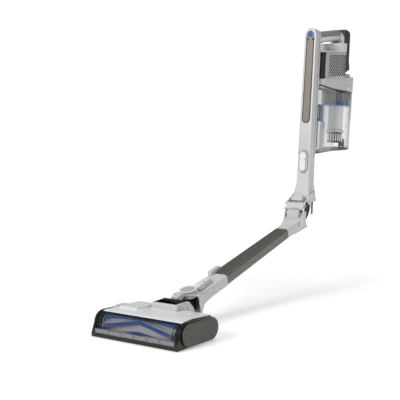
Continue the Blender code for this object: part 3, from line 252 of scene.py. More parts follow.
# ---------------------------------------------------------------- brush roll, motor, belt and wheels
# Core in grey-blue plush with soft grey fins wound in a V, on steel stubs; it draws the dust to the middle.
# A toothed belt turns it from the motor behind the chamber wall.
blue_abs = moulded("blue_abs_moulded", "#17478c", 0.30, grain=0.7, depth=0.02, coat=0.3)
fin_rubber = moulded("grey_elastomer_moulded", "#c3c4be", 0.50, grain=0.8, depth=0.05)
black_rubber = moulded("black_rubber_moulded", "#161616", 0.72, grain=0.8, depth=0.12)
pale_core = moulded("grey_blue_plush_pile", "#a9b1bd", 0.85, grain=1.2, depth=0.5, vary=0.1)
dressed("brush_core", pale_core, 0.3)
dressed("brush_fins", fin_rubber, 0)
dressed("drive_belt", black_rubber, 0.2)


WAVES_PER_SCALE = 20


def turned_metal(name, colour, roughness, ridges, metallic=1.0):
    """Turned or drawn metal: fine tool marks `ridges` mm apart round the part."""
    made = bpy.data.materials.new(name)
    made.use_nodes = True
    tree = made.node_tree
    shader = tree.nodes["Principled BSDF"]
    place = add(tree, "ShaderNodeTexCoord")
    marks = add(tree, "ShaderNodeTexWave",
                {"Vector": place.outputs["Object"], "Scale": 1000.0 / ridges / WAVES_PER_SCALE,
                 "Distortion": 2.0, "Detail": 2.0}, bands_direction="X")
    cloud = add(tree, "ShaderNodeTexNoise", {"Vector": place.outputs["Object"], "Scale": 60.0})
    gloss = add(tree, "ShaderNodeMapRange",
                {"Value": cloud.outputs["Fac"], "To Min": roughness * 0.8, "To Max": roughness * 1.25})
    relief = add(tree, "ShaderNodeBump",
                 {"Height": marks.outputs["Fac"], "Strength": 0.06, "Distance": 0.0002})
    tree.links.new(gloss.outputs["Result"], shader.inputs["Roughness"])
    tree.links.new(relief.outputs["Normal"], shader.inputs["Normal"])
    shader.inputs["Base Color"].default_value = linear(colour)
    shader.inputs["Metallic"].default_value = metallic
    return made


drawn_steel = turned_metal("stainless_steel_turned", "#b4b5b8", 0.28, 0.4)
dressed("brush_motor", drawn_steel, 0.4)
dressed("drive_pinion", drawn_steel, 0.2)
for wheel in ("rear_wheel_left", "rear_wheel_right"):
    dressed(wheel, black_rubber, 0.3)

# Blue nylon tufts stand in six V bands, one behind each fin and three tufts wide, with the fins' own twist.
brush_at = Vector(JOINT["brush_spin"]["pos_m"])
FIN_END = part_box("brush_fins")[1].x
ROLL_REACH = FIN_END - 2 * MM
TUFT_PITCH, TUFT_LONG = 2.2 * MM, 8.0 * MM
TUFT_FOOT, TWIST = 14.6 * MM, 0.9
BANDS, BAND_TUFTS = 6, 3


def arrow_mesh(name, points):
    """A cloud of points, each with the direction in which its copy stands."""
    mesh = bpy.data.meshes.new(name)
    mesh.from_pydata([p for p, _ in points], [], [])
    heading = mesh.attributes.new("heading", "FLOAT_VECTOR", "POINT")
    for i, (_, way) in enumerate(points):
        heading.data[i].vector = way
    return mesh


def stood_on(name, points, shape, sizes, material, body):
    """Geometry Nodes: one small solid on every point, its axis along the point's heading."""
    tree = bpy.data.node_groups.new(name + "_tree", "GeometryNodeTree")
    tree.interface.new_socket("Geometry", in_out="INPUT", socket_type="NodeSocketGeometry")
    tree.interface.new_socket("Geometry", in_out="OUTPUT", socket_type="NodeSocketGeometry")
    ports = {}
    for label in sizes:
        port = tree.interface.new_socket(label, in_out="INPUT", socket_type="NodeSocketFloat")
        ports[label] = port.identifier
    start = add(tree, "NodeGroupInput")
    if shape == "cone":
        solid = add(tree, "GeometryNodeMeshCone",
                    {"Vertices": 6, "Radius Top": start.outputs["Tip radius"],
                     "Radius Bottom": start.outputs["Foot radius"], "Depth": start.outputs["Height"]})
    elif shape == "block":
        extent = add(tree, "ShaderNodeCombineXYZ", {"X": start.outputs["Width"], "Y": start.outputs["Length"],
                                                    "Z": start.outputs["Height"]})
        solid = add(tree, "GeometryNodeMeshCube", {"Size": extent.outputs["Vector"]})
    else:
        sides = 4 if shape == "diamond" else 16
        solid = add(tree, "GeometryNodeMeshCylinder",
                    {"Vertices": sides, "Radius": start.outputs["Radius"], "Depth": start.outputs["Height"]})
    way = add(tree, "GeometryNodeInputNamedAttribute", {"Name": "heading"}, data_type="FLOAT_VECTOR")
    turn = add(tree, "FunctionNodeAlignEulerToVector", {"Vector": way.outputs["Attribute"]}, axis="Z")
    each = add(tree, "GeometryNodeInstanceOnPoints",
               {"Points": start.outputs["Geometry"], "Instance": solid.outputs["Mesh"],
                "Rotation": turn.outputs["Rotation"]})
    real = add(tree, "GeometryNodeRealizeInstances", {"Geometry": each.outputs["Instances"]})
    coat = add(tree, "GeometryNodeSetMaterial", {"Geometry": real.outputs["Geometry"], "Material": material})
    add(tree, "NodeGroupOutput", {"Geometry": coat.outputs["Geometry"]})
    thing = bpy.data.objects.new(name, arrow_mesh(name, points))
    scene.collection.objects.link(thing)
    grow = thing.modifiers.new("grow", "NODES")
    grow.node_group = tree
    for label, value in sizes.items():
        grow[ports[label]] = value
    return as_object(name, baked(thing), material, body)


tufts = []
for row in range(BANDS * BAND_TUFTS):
    band, place_in_band = divmod(row, BAND_TUFTS)
    first_angle = band * 2 * math.pi / BANDS + math.radians(7 + 7 * place_in_band)
    for i in range(int(2 * ROLL_REACH / TUFT_PITCH)):
        x = -ROLL_REACH + i * TUFT_PITCH
        angle = first_angle + TWIST * abs(x) / FIN_END
        out = Vector((0.0, math.cos(angle), math.sin(angle)))
        at = brush_at + out * (TUFT_FOOT + TUFT_LONG / 2)
        tufts.append(((x, at.y, at.z), out))
blue_nylon = moulded("blue_nylon_drawn", "#2f74d0", 0.45, grain=0.5, depth=0.02)
stood_on("brush_tufts", tufts, "cone", {"Foot radius": 1.3 * MM, "Tip radius": 0.9 * MM, "Height": TUFT_LONG},
         blue_nylon, "brush_roll")

# ---------------------------------------------------------------- smoked window
# Smoked polycarbonate, injection moulded, clear enough to watch the brush roll turn.
# Clipped under the cover's front edge over a dark seal, with a dark band and two thin rings at each end.


def see_through(name, colour, edge_shade, clear, rim, roughness=0.05, coat=0.6):
    """Thin polycarbonate: it hides `clear` of what is behind it seen square on, and `rim` at its edges, where its
    colour turns to `edge_shade`, a painted dark edge that stands in for refraction.
    """
    made = bpy.data.materials.new(name)
    made.use_nodes = True
    tree = made.node_tree
    shader = tree.nodes["Principled BSDF"]
    place = add(tree, "ShaderNodeTexCoord")
    ripple = add(tree, "ShaderNodeTexNoise",
                 {"Vector": place.outputs["Object"], "Scale": 40.0, "Detail": 1.0})
    facing = add(tree, "ShaderNodeLayerWeight", {"Blend": 0.35})
    bend = add(tree, "ShaderNodeMath", {0: facing.outputs["Facing"], 1: 1.7}, operation="POWER")
    # Painted shade: the colour darkens towards the grazing edges, standing in for the dark edges that refraction
    # gives a clear wall.
    shade = add(tree, "ShaderNodeMix",
                {0: bend.outputs["Value"], 6: linear(colour), 7: linear(edge_shade)}, data_type="RGBA")
    hide = add(tree, "ShaderNodeMapRange", {"Value": bend.outputs["Value"], "To Min": clear, "To Max": rim})
    relief = add(tree, "ShaderNodeBump",
                 {"Height": ripple.outputs["Fac"], "Strength": 0.05, "Distance": 0.001})
    tree.links.new(shade.outputs[2], shader.inputs["Base Color"])
    tree.links.new(hide.outputs["Result"], shader.inputs["Alpha"])
    tree.links.new(relief.outputs["Normal"], shader.inputs["Normal"])
    shader.inputs["Roughness"].default_value = roughness
    shader.inputs["IOR"].default_value = 1.585
    shader.inputs["Coat Weight"].default_value = coat
    return made


smoked_pc = see_through("smoked_polycarbonate_moulded", "#55565b", "#202124", 0.14, 0.85)
dressed("brush_window", smoked_pc, 0.3)


def arc(r, first, last, n, centre):
    """Points (y, z) of an arc of radius `r` mm round a centre, from `first` to `last` degrees."""
    points = []
    for i in range(n + 1):
        angle = math.radians(first + (last - first) * i / n)
        points.append((centre.y + r * MM * math.cos(angle), centre.z + r * MM * math.sin(angle)))
    return points


def curved_wall(r_out, r_in, first, last, n):
    """Outline (y, z) of a thin wall that bends round the brush roll."""
    return arc(r_out, first, last, n, brush_at) + arc(r_in, first, last, n, brush_at)[::-1]


def bar(name, outline, x0, x1, material, body, edge=0.3):
    """A straight moulding along X with that outline in Y and Z, in metres."""
    bm = bmesh.new()
    rings = [[bm.verts.new((x, y, z)) for y, z in outline] for x in (x0, x1)]
    bm.faces.new(rings[0])
    bm.faces.new(rings[1])
    for i in range(len(outline)):
        j = (i + 1) % len(outline)
        bm.faces.new((rings[0][i], rings[0][j], rings[1][j], rings[1][i]))
    return as_object(name, softened(bm, edge), material, body)


win_low, win_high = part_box("brush_window")
black_abs = moulded("black_abs_fine_texture", "#101011", 0.40, grain=0.7, depth=0.06, specular=0.3)
bar("window_seal", curved_wall(31.9, 31.2, 111.5, 122.5, 5), win_low.x, win_high.x,
    black_gloss, "nozzle", 0.1)
# From each end: how far in a ring stands, how wide it is, and what it is made of.
RINGS = ((2.0, 3.4, black_gloss), (11.0, 1.1, black_gloss), (16.0, 0.7, drawn_steel))
for side, name in ((-1, "left"), (1, "right")):
    for i, (inset, wide, material) in enumerate(RINGS):
        x = side * (win_high.x - inset * MM)
        bar(f"window_ring_{name}_{i + 1}", curved_wall(32.0, 31.1, 112, 191, 16),
            x - wide / 2 * MM, x + wide / 2 * MM, material, "nozzle", 0.1)

# ---------------------------------------------------------------- light strip
# Clear acrylic strip across the front lip, ribbed inside to spread the light of its lamps.
# Small dark lamp housings sit behind it on a narrow grey board.
clear_acrylic = see_through("clear_acrylic_moulded", "#a4a6a7", "#3a3b3c", 0.34, 0.85, 0.06)
strip_low, strip_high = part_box("front_strip")
dressed("front_strip", clear_acrylic, 0.25)
BOARD_T, BOARD_INSET = 1.0 * MM, 4.0 * MM
board_y = strip_low.y + 5.4 * MM
board_z = (strip_low.z + 0.5 * MM, strip_high.z - 3.0 * MM)
bar("lamp_board", [(board_y, board_z[0]), (board_y + BOARD_T, board_z[0]),
                   (board_y + BOARD_T, board_z[1]), (board_y, board_z[1])],
    strip_low.x + BOARD_INSET, strip_high.x - BOARD_INSET,
    moulded("solder_masked_board", "#8a8c8c", 0.4), "nozzle", 0)
LAMP_PITCH, LAMP_REACH = 13, 104
lamp_z = (strip_low.z + strip_high.z) / 2
lamps = [((x * MM, board_y - 0.4 * MM, lamp_z - 0.4 * MM), Vector((0, -1, 0)))
         for x in range(-LAMP_REACH, LAMP_REACH + 1, LAMP_PITCH)]
stood_on("lamp_lenses", lamps, "round", {"Radius": 1.2 * MM, "Height": 1.6 * MM}, black_abs, "nozzle")
DIVIDER_PITCH = 37
dividers = [((i * DIVIDER_PITCH * MM, strip_low.y + 1.6 * MM, lamp_z - 0.2 * MM), Vector((0, -0.25, 0.97)))
            for i in range(-2, 3)]
stood_on("strip_dividers", dividers, "block", {"Width": 1.6 * MM, "Length": 1.4 * MM, "Height": 7.5 * MM},
         black_abs, "nozzle")

# ---------------------------------------------------------------- top cover
# Near-white gloss ABS shell over brush, motor and belt, with a faint run of moulded ribs.
# Screwed to the chassis from below; a blue line marks the side that opens.
white_abs = moulded("white_abs_gloss", "#eceef0", 0.30, grain=1.0, depth=0.02, vary=0.02, coat=0.3)
dressed("top_cover", white_abs, 1.0, segments=3)
# The cover's left part, up to the step, lies level and higher than the right part, which falls to the back.
STEP_X, HIGH_DECK, LOW_DECK, DECK_FALL = -43, 63.6, 59.4, -0.06
RIB_PITCH, RIB_REACH, RIB_Y = 9, 108, -8
cover_ribs = []
for x in range(-RIB_REACH, RIB_REACH + 1, RIB_PITCH):
    raised = x < STEP_X
    cover_ribs.append(((x * MM, RIB_Y * MM, (HIGH_DECK if raised else LOW_DECK) * MM),
                       Vector((0, 1, 0 if raised else DECK_FALL))))
stood_on("cover_ribs", cover_ribs, "block", {"Width": 1.5 * MM, "Length": 1.4 * MM, "Height": 30 * MM},
         white_abs, "nozzle")
# The blue line lies on the cover, so its points are found by dropping a line on it every few millimetres.
ACCENT_INSET, ACCENT_HALF, ACCENT_FRONT, ACCENT_STEP, ACCENT_POINTS = 4, 1.6, -50, 4.5, 12
ABOVE_COVER = 0.2
cover_shape = bmesh.new()
cover_shape.from_mesh(frame["nodes"]["top_cover"].data)
cover_tree = BVHTree.FromBMesh(cover_shape)
cover_shape.free()
accent_x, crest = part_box("top_cover")[0].x + ACCENT_INSET * MM, []
for i in range(ACCENT_POINTS):
    y = (ACCENT_FRONT + ACCENT_STEP * i) * MM
    hit = cover_tree.ray_cast(Vector((accent_x, y, ABOVE_COVER)), Vector((0, 0, -1)))[0]
    if hit:
        crest.append((y, hit.z))
bar("accent_line", [(y, z + 0.5 * MM) for y, z in crest] + [(y, z - 0.6 * MM) for y, z in crest[::-1]],
    accent_x - ACCENT_HALF * MM, accent_x + ACCENT_HALF * MM, blue_abs, "nozzle", 0.15)
felt = moulded("grey_felt_needled", "#3c3c3e", 0.95, grain=1.6, depth=0.6, vary=0.15)
dressed("felt_strip", felt, 0.3)

# ---------------------------------------------------------------- clevis and knuckle
# Light grey ABS clevis on the cover, holding a steel pin; the black knuckle nods on it.
# The knuckle also turns under the disc, which is how the nozzle steers.
grey_abs = moulded("light_grey_abs_satin", "#c9c9c9", 0.42, grain=0.8, depth=0.03, vary=0.03)
dressed("pivot_bracket", grey_abs, 1.2, segments=3)
dressed("knuckle", black_abs, 0.6)
dressed("pitch_pin", drawn_steel, 0.3)
lower_pin = Vector(JOINT["flex_lower"]["pos_m"])
lower_up = -Vector(JOINT["neck_out"]["axis"])
lower_back = Vector(JOINT["neck_release_press"]["axis"])
upper_pin = Vector(JOINT["flex_upper"]["pos_m"])
upper_up = -Vector(JOINT["upper_wand_out"]["axis"])
upper_back = Vector(JOINT["power_press"]["axis"])


def on_lower(x, y, z):
    """A point of the lower wand's frame, in mm from its hinge pin: across, back and along."""
    return Vector((x * MM, 0, 0)) + lower_pin + lower_back * (y * MM) + lower_up * (z * MM)


def on_upper(x, y, z):
    """A point of the upper wand's frame, in mm from its hinge pin: across, back and along."""
    return Vector((x * MM, 0, 0)) + upper_pin + upper_back * (y * MM) + upper_up * (z * MM)


def loft(rings, loop=False):
    """Skins rings of equal length into a solid, closed by its end rings or, with `loop`, back on itself."""
    bm = bmesh.new()
    rows = [[bm.verts.new(p) for p in ring] for ring in rings]
    n = len(rows[0])
    pairs = list(zip(rows, rows[1:])) + ([(rows[-1], rows[0])] if loop else [])
    for low, high in pairs:
        for i in range(n):
            j = (i + 1) % n
            bm.faces.new((low[i], low[j], high[j], high[i]))
    if not loop:
        bm.faces.new(rows[0])
        bm.faces.new(rows[-1])
    return bm


def slab(outline, x0, x1, place):
    """A flat piece of constant outline (y, z) between two X, in millimetres of a wand's frame."""
    return loft([[place(x, y, z) for y, z in outline] for x in (x0, x1)])


knuckle_tab = [(4.4, -604), (3.0, -582), (4.6, -577.5), (13.5, -577.5), (17.5, -588), (15, -603)]
as_object("knuckle_tab", softened(slab(knuckle_tab, -9.5, 9.5, on_lower), 1.0), grey_abs, "knuckle_body")

# ---------------------------------------------------------------- neck, disc and lower release
# Light grey ABS neck with a flared hood; a bright anodised disc covers the steering pivot.
# The long button with cut corners, in its raised bezel, frees the neck from the wand.
dressed("neck_housing", grey_abs, 0.8)
button_abs = moulded("light_grey_abs_button", "#e2e2e2", 0.30, grain=0.8, depth=0.03, vary=0.03)
dressed("neck_release_button", button_abs, 0.6)
silver_disc = turned_metal("anodised_aluminium_spun", "#cccdcf", 0.24, 0.6, metallic=0.3)
dressed("swivel_disc", silver_disc, 0.8)
# FACE is how far the wands' front faces stand behind the hinge pins.
FACE = 26.0
SWIVEL = -547.0


def ring_on(place, across, along, height, r_out, r_in, thick, n=48):
    """A flat ring standing on a wand's face; (across, along) is its centre, height its foot."""
    angles = [2 * math.pi * i / n for i in range(n)]
    rings = []
    for r, h in ((r_in, 0), (r_out, 0), (r_out, thick), (r_in, thick)):
        rings.append([place(across + r * math.cos(a), height - h, along + r * math.sin(a)) for a in angles])
    return loft(rings, loop=True)


as_object("disc_rim", softened(ring_on(on_lower, 0, SWIVEL, FACE - 16.2, 21.5, 17.8, 1.6), 0.3),
          white_abs, "knuckle_body")
as_object("disc_seat", softened(ring_on(on_lower, 0, SWIVEL, FACE - 8, 23.0, 19.0, 2.2), 0.5),
          grey_abs, "neck")


BEZEL_HALF, BEZEL_LONG, LINE_DEEP = 14.0, 64.0, 1.0
NECK_BEZEL, WAND_BEZEL = -521.0, 91.0


def bezel_line(place, foot, inset, thick, height, body, name, material):
    """A thin eight-sided line `thick` wide round a release button whose bezel starts at `foot`."""
    def outline(grow):
        half, low, high = BEZEL_HALF + grow, foot - grow, foot + BEZEL_LONG + grow
        cut, end = 0.62 * half, 0.35 * half
        return [(half, low + cut), (half, high - cut), (end, high), (-end, high),
                (-half, high - cut), (-half, low + cut), (-end, low), (end, low)]
    outer, inner = outline(-inset), outline(-inset - thick)
    top, bottom = FACE - height, FACE - height + LINE_DEEP
    corners = ((outer, top), (inner, top), (inner, bottom), (outer, bottom))
    rings = [[place(x, y, z) for x, z in line] for line, y in corners]
    as_object(name, softened(loft(rings, loop=True), 0), material, body)


bezel_line(on_lower, NECK_BEZEL, 2.2, 1.1, 5.7, "neck", "neck_bezel_shadow", black_gloss)
bezel_line(on_lower, NECK_BEZEL, -1.0, 0.9, 0.35, "neck", "neck_bezel_foot", black_gloss)
PAD_TOP, PAD_FOOT, PAD_HALF = FACE - 12.0, FACE - 8.0, 8.6
pad = [(PAD_TOP, NECK_BEZEL + 12), (PAD_TOP, NECK_BEZEL + 52),
       (PAD_FOOT, NECK_BEZEL + 58), (PAD_FOOT, NECK_BEZEL + 6)]
as_object("neck_button_pad", softened(slab(pad, -PAD_HALF, PAD_HALF, on_lower), 1.6, segments=3),
          button_abs, "neck_release")
black_paint = moulded("black_pad_print", "#232323", 0.5)
dot_size = {"Radius": 1.5 * MM, "Height": 0.5 * MM}
stood_on("release_dots", [(on_lower(6.0, PAD_TOP - 0.2, -488), -lower_back)], "round", dot_size,
         black_paint, "neck_release")

# ---------------------------------------------------------------- lower wand
# Drawn aluminium tube, dark anodised, between a light grey ABS collar and hinge housing.
# The collar carries a small clip for a loose tool.


def anodised(name, colour, roughness):
    """Anodised extrusion: brushed along its length, the strokes drawn coarser than life, 1.2 mm, to show."""
    made = bpy.data.materials.new(name)
    made.use_nodes = True
    tree = made.node_tree
    shader = tree.nodes["Principled BSDF"]
    place = add(tree, "ShaderNodeTexCoord")
    stretch = add(tree, "ShaderNodeMapping", {"Vector": place.outputs["Object"], "Scale": (1.0, 0.04, 0.15)})
    strokes = add(tree, "ShaderNodeTexNoise",
                  {"Vector": stretch.outputs["Vector"], "Scale": 830.0, "Detail": 3.0})
    base = linear(colour)
    shade = add(tree, "ShaderNodeMix", {0: strokes.outputs["Fac"], 6: [0.9 * c for c in base[:3]] + [1.0],
                                        7: [min(1.0, 1.1 * c) for c in base[:3]] + [1.0]}, data_type="RGBA")
    gloss = add(tree, "ShaderNodeMapRange",
                {"Value": strokes.outputs["Fac"], "To Min": roughness * 0.8, "To Max": roughness * 1.2})
    relief = add(tree, "ShaderNodeBump",
                 {"Height": strokes.outputs["Fac"], "Strength": 0.05, "Distance": 0.0003})
    tree.links.new(shade.outputs[2], shader.inputs["Base Color"])
    tree.links.new(gloss.outputs["Result"], shader.inputs["Roughness"])
    tree.links.new(relief.outputs["Normal"], shader.inputs["Normal"])
    shader.inputs["Metallic"].default_value = 0.75
    return made


dark_anodised = anodised("dark_anodised_aluminium_drawn", "#6f6f68", 0.42)
dressed("lower_tube", dark_anodised, 0.5)
dressed("lower_collar", grey_abs, 0.7)
dressed("lower_hinge_housing", grey_abs, 0.8)
dressed("flex_latch", black_abs, 0.5)

# ---------------------------------------------------------------- flex hinge
# Light grey ABS barrel on two pins with black caps, cradled at both ends, so the wand bends under furniture.
# Raised rings stiffen the barrel; a black corrugated hose carries the air behind it.
dressed("hinge_link", grey_abs, 0.8)
dressed("hinge_pin_upper", black_abs, 0.6)
dressed("hinge_pin_lower", black_abs, 0.6)
link_way = (upper_pin - lower_pin).normalized()
link_back = Vector((0, link_way.z, -link_way.y))
link_long = (upper_pin - lower_pin).length / MM


RING_TUCK = 4


def stadium_ring(x0, x1, r_out, r_in, n=20):
    """A ring of stadium outline round the barrel, its ends centred a little inside the hinge pins."""
    def outline(r, x):
        points = []
        for first, centre in ((0, link_long - RING_TUCK), (math.pi, RING_TUCK)):
            for k in range(n + 1):
                a = first + math.pi * k / n
                points.append((-r * math.cos(a), centre + r * math.sin(a)))
        foot = Vector((x * MM, 0, 0)) + lower_pin
        return [foot + link_back * (y * MM) + link_way * (z * MM) for y, z in points]
    return loft([outline(r_in, x0), outline(r_out, x0), outline(r_out, x1), outline(r_in, x1)], loop=True)


for i, x in enumerate((-16.0, -3.0, 10.0)):
    as_object(f"link_ring_{i + 1}", softened(stadium_ring(x, x + 2.4, 9.1, 8.0), 0.3), grey_abs, "link")

SADDLE_R, SADDLE_HALF, SADDLE_LONG = 9.8, 18.0, 22.0


def saddle(name, place, sign, body):
    """The cradle that runs round one end of the barrel, clear of its swing, up to the wand's face."""
    outline = []
    for degrees in range(170, 271, 10):
        a = math.radians(degrees)
        outline.append((-SADDLE_R * math.sin(a), sign * SADDLE_R * math.cos(a)))
    outline += [(FACE + 1, 0.0), (FACE + 1, -SADDLE_LONG * sign), (-1.7, -SADDLE_LONG * sign)]
    as_object(name, softened(slab(outline, -SADDLE_HALF, SADDLE_HALF, place), 0.6), grey_abs, body)


saddle("lower_saddle", on_lower, 1, "lower_wand")
saddle("upper_saddle", on_upper, -1, "upper_wand")
cap_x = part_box("hinge_pin_upper")[1].x
caps = [(pin + Vector((side * cap_x, 0, 0)), Vector((side, 0, 0)))
        for pin in (upper_pin, lower_pin) for side in (-1, 1)]
stood_on("hinge_pin_caps", caps, "round", {"Radius": 5.6 * MM, "Height": 1.6 * MM}, black_abs, "link")
hose_rubber = moulded("black_elastomer_corrugated", "#1a1a1a", 0.55, grain=0.8, depth=0.08)
# The hose runs on one smooth curve, straight out of the upper wand and straight into the lower one.
ends = [on_upper(0, FACE + 20, 14), on_upper(0, FACE + 24, -18), on_lower(0, FACE + 15, 22),
        on_lower(0, FACE + 13, -16)]
HOSE_WIDE, HOSE_DEEP, HOSE_SIDES, RINGS_PER_RIB = 18.5, 13.6, 28, 4


def hose_part(name, first, last, n=44):
    """One half of the hose, ribbed every 3 mm."""
    around = [2 * math.pi * k / HOSE_SIDES for k in range(HOSE_SIDES)]
    rings = []
    for i in range(n + 1):
        t = first + (last - first) * i / n
        s = 1 - t
        at = ends[0] * s ** 3 + ends[1] * 3 * s * s * t + ends[2] * 3 * s * t * t + ends[3] * t ** 3
        way = (ends[1] - ends[0]) * s * s + (ends[2] - ends[1]) * 2 * s * t + (ends[3] - ends[2]) * t * t
        way.normalize()
        side = Vector((0, way.z, -way.y))
        crown = math.cos(2 * math.pi * i / RINGS_PER_RIB)
        wide, deep = (HOSE_WIDE + crown) * MM, (HOSE_DEEP + 0.9 * crown) * MM
        rings.append([at + Vector((wide * math.cos(a), 0, 0)) + side * (deep * math.sin(a)) for a in around])
    return as_object(name, softened(loft(rings), 0), hose_rubber, None)


hose_upper = hose_part("hose_upper_half", 0.0, 0.5)
hose_lower = hose_part("hose_lower_half", 0.5, 1.0)
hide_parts("flex_hose")
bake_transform(hose_upper)
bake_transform(hose_lower)

# ---------------------------------------------------------------- upper wand
# Light grey ABS shell, flared to the hinge, with the second release button in its bezel.
# Two small screws hold its halves together from the side.
dressed("upper_wand_tube", grey_abs, 0.8)
dressed("wand_release_button", button_abs, 0.6)
bezel_line(on_upper, WAND_BEZEL, 2.2, 1.1, 5.7, "upper_wand", "wand_bezel_shadow", black_gloss)
bezel_line(on_upper, WAND_BEZEL, -1.0, 0.9, 0.35, "upper_wand", "wand_bezel_foot", black_gloss)
stood_on("upper_release_dots", [(on_upper(7.0, FACE - 7.6, 128), -upper_back)], "round", dot_size,
         black_paint, "upper_release")
screw_steel = turned_metal("blackened_steel_screws", "#3a3a3c", 0.4, 0.3)
stood_on("wand_screws", [(on_upper(s * 25.6, 52, 37), Vector((s, 0, 0.12))) for s in (-1, 1)], "round",
         {"Radius": 2.2 * MM, "Height": 0.8 * MM}, screw_steel, "upper_wand")

# ---------------------------------------------------------------- hand vacuum tube and strip
# Silver-painted ABS tube with an arched top; the glossy inlay carries the status lights.
# The round blue power button stands in a bright ring at the head of the inlay.
silver_paint = moulded("silver_paint_on_abs", "#c6c6c7", 0.34, grain=0.5, depth=0.03, vary=0.03,
                       metallic=0.25, coat=0.2)
dressed("hand_tube", silver_paint, 1.0, segments=3)
dark_gloss = moulded("dark_gloss_acrylic", "#4b4843", 0.14, grain=2.0, depth=0.01, coat=0.8)
dressed("display_strip", dark_gloss, 0.3)
taupe_gloss = moulded("taupe_back_printed_acrylic", "#8a837a", 0.20, grain=2.0, depth=0.01, vary=0.08,
                      coat=0.5)
POWER_Z, STRIP_HALF, STRIP_LONG = 491.5, 13.0, 270
strip_foot = POWER_Z + STRIP_HALF - STRIP_LONG


def strip_outline(half, z_low, z_high, n=16):
    """A long outline (across, along) with round ends."""
    angles = [math.pi * i / n for i in range(n + 1)]
    top = [(half * math.cos(a), z_high - half + half * math.sin(a)) for a in angles]
    return top + [(-a, z_low + z_high - b) for a, b in top]


inlay = strip_outline(9.8, strip_foot + 3.2, POWER_Z - 13.5)
inlay_rings = [[on_upper(x, y, z) for x, z in inlay] for y in (FACE - 0.7, FACE + 0.4)]
as_object("inlay_face", softened(loft(inlay_rings), 0.2), taupe_gloss, "hand_vac")
deep_blue = moulded("blue_abs_button", "#1f4f80", 0.28, coat=0.5)
dressed("power_button", deep_blue, 0.8)
as_object("power_ring", softened(ring_on(on_upper, 0, POWER_Z, FACE - 0.1, 12.4, 10.6, 1.0), 0.25),
          drawn_steel, "hand_vac")
# The seam follows the tube's side, which narrows from the foot to the head.
SEAM_SECTION = ((-0.3, 46.6), (0.25, 46.6), (0.25, 47.7), (-0.3, 47.7))
SEAM_ENDS = ((21.0, 143.0), (19.0, 488.0))
for side, name in ((-1, "left"), (1, "right")):
    seam = [[on_upper(side * (x + dx), y, z) for dx, y in SEAM_SECTION] for x, z in SEAM_ENDS]
    as_object(f"tube_seam_{name}", softened(loft(seam), 0), black_abs, "hand_vac")
# Two black strips behind the tube, above and below the cup's inlet, darken the gap between tube and cup: a painted
# shadow of the tube on the cup.
SHADOW_STRIP_SECTION = ((-11, 59.3), (11, 59.3), (11, 66.0), (-11, 66.0))
for i, shadow_strip_ends in enumerate(((160.0, 249.0), (293.0, 345.0))):
    shadow_strip = [[on_upper(x, y, z) for x, y in SHADOW_STRIP_SECTION] for z in shadow_strip_ends]
    as_object(f"tube_shadow_strip_{i + 1}", softened(loft(shadow_strip), 0.8), black_abs, "hand_vac")
dressed("inlet_duct", black_abs, 0.5)

# ---------------------------------------------------------------- grip and trigger
# Two-part grip: soft-touch warm grey elastomer over light grey ABS, screwed tube to pod.
# The charcoal trigger below changes the mode.
soft_touch = moulded("warm_grey_elastomer_soft_touch", "#7a7776", 0.62, grain=0.7, depth=0.06)
dressed("grip_upper", soft_touch, 0)
dressed("grip_lower", grey_abs, 0)
dressed("mode_trigger", charcoal_abs, 1.2, segments=3)

# ---------------------------------------------------------------- pod, motor housing and vents
# Light grey ABS pod over the silver motor housing, whose sides breathe through diamond holes.
# The black duct between tube and motor carries the wiring.
dressed("pod_shell", grey_abs, 1.6, segments=3)
dressed("bridge_housing", black_abs, 0.8)
dressed("motor_housing", silver_paint, 0.6)
dressed("motor_can", drawn_steel, 0.5)
dressed("impeller", grey_abs, 0.2)
# The diamonds are 6 mm across, set 9 mm apart in staggered rows along the flat cheek and on round the back.
TUBE_BACK, POD_Y, HOUSE_R = 59.0, 166.0, 42.1
CORNER = Vector((20.0, 93.0))
CHEEK_WAY = math.radians(-13.2)
CHEEK_LOOK = Vector((math.cos(CHEEK_WAY), math.sin(CHEEK_WAY)))
DIAMOND, VENT_STEP, VENT_ROWS, VENTS_IN_ROW = 3.2, 9.2, 14, 12
FIRST_ROW, BAND_SLOPE = 374.5, 0.149


def cheek(along, out):
    """Point and outward direction (x, y) on the right grille, `along` mm from its front edge."""
    first = CORNER + CHEEK_LOOK * (6.0 + out)
    last = Vector((0.0, POD_Y)) + CHEEK_LOOK * (HOUSE_R + out)
    flat = (last - first).length
    if along < flat:
        return first.lerp(last, along / flat), CHEEK_LOOK
    angle = CHEEK_WAY + (along - flat) / HOUSE_R
    look = Vector((math.cos(angle), math.sin(angle)))
    return Vector((0.0, POD_Y)) + look * (HOUSE_R + out), look


for side, name in ((-1, "left"), (1, "right")):
    dressed(f"vent_grille_{name}", silver_paint, 0.3)
    holes = []
    for row in range(VENT_ROWS):
        for step in range(VENTS_IN_ROW):
            spot, look = cheek(8.0 + VENT_STEP * (step + 0.5 * (row % 2)), 1.8)
            height = FIRST_ROW + row * VENT_STEP / 2 + BAND_SLOPE * (spot.y - TUBE_BACK)
            out = Vector((side * look.x, 0, 0)) + upper_back * look.y
            holes.append((on_upper(side * spot.x, spot.y, height), out.normalized()))
    stood_on(f"vent_holes_{name}", holes, "diamond", {"Radius": DIAMOND * MM, "Height": 0.5 * MM},
             black_abs, "hand_vac")

# ---------------------------------------------------------------- band, battery and catches
# Silver-painted structural band that joins tube, motor, cup and battery.
# Charcoal ABS battery, which slides up out of its dock past a press catch.
dressed("chassis_band", silver_paint, 1.2, segments=3)
dressed("cup_release_button", grey_abs, 0.8)
dressed("cup_seal", black_rubber, 0.3)
battery_abs = moulded("charcoal_abs_battery", "#202120", 0.42, grain=0.9, depth=0.10)
dressed("battery_pack", battery_abs, 0)
dressed("battery_latch", black_abs, 0.6)

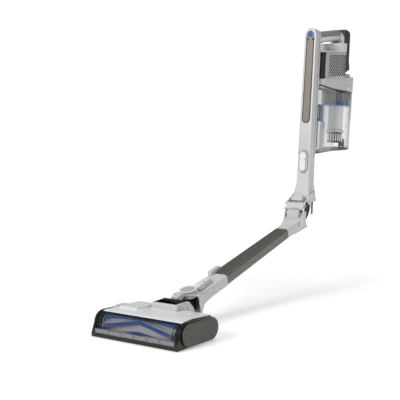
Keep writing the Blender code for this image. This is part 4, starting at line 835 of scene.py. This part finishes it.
# ---------------------------------------------------------------- dust cup
# Clear polycarbonate cup with a bronze-tinted shroud, blue collar, white cone and slatted screen.
# The door hangs on a steel pin in front and closes on a catch at the back.
cup_pc = see_through("clear_polycarbonate_cup", "#c9cccc", "#2e3030", 0.08, 0.90)
dressed("dust_cup", cup_pc, 0.4)
bronze_pc = see_through("bronze_polycarbonate_shroud", "#a0968a", "#57504a", 0.62, 0.95, 0.12)
dressed("filter_shroud", bronze_pc, 0.3)
dark_foam = moulded("dark_filter_foam", "#3a3836", 0.95, grain=1.8, depth=0.6, vary=0.2)
dressed("foam_filter", dark_foam, 0.5)
dressed("blue_ring", blue_abs, 0.6)
dressed("inlet_port", blue_abs, 0.5)
dressed("cyclone_cone", white_abs, 0.4)
dressed("screen_cage", black_abs, 0.3)
dressed("door_pin", drawn_steel, 0.2)
dressed("door_latch", black_abs, 0.5)
dressed("cup_door", see_through("clear_polycarbonate_door", "#5c5e5e", "#202121", 0.66, 0.95), 0.4)
# Two white posts stand in the cup's narrow part and guide it on the tube.
POST_SECTION = ((-2.2, -3), (2.2, -3), (2.2, 3), (-2.2, 3))
for i, (x, y) in enumerate(((9.0, 84.0), (14.5, 112.0))):
    post = [[on_upper(x + dx, y + dy, z) for dx, dy in POST_SECTION] for z in (166.0, 246.0)]
    as_object(f"cup_guide_{i + 1}", softened(loft(post), 0.8), white_abs, "cup")
CUP_Y = 214.0


def fence(name, count, phase, r, middle, thick, tall, material):
    """Upright bars in a circle of radius `r` mm round the cup's axis, with their middles `middle` mm up."""
    posts = []
    for i in range(count):
        a = 2 * math.pi * (i + phase) / count
        posts.append((on_upper(r * math.cos(a), CUP_Y + r * math.sin(a), middle), upper_up))
    size = {"Width": thick * MM, "Length": thick * MM, "Height": tall * MM}
    stood_on(name, posts, "block", size, material, "cup")


# The screen's white slats glow faintly: painted light that keeps them bright behind the cup walls.
glowing_slat_white = moulded("white_abs_screen_slats_painted_glow", "#f6f7f2", 0.25)
slat_shader = glowing_slat_white.node_tree.nodes["Principled BSDF"]
slat_shader.inputs["Emission Color"].default_value = (1, 1, 0.95, 1)
slat_shader.inputs["Emission Strength"].default_value = 0.25
fence("shroud_bars", 20, 0.5, 40.0, 331.5, 2.2, 24, charcoal_abs)
fence("screen_slats", 20, 0, 23.3, 206, 2.0, 22, glowing_slat_white)
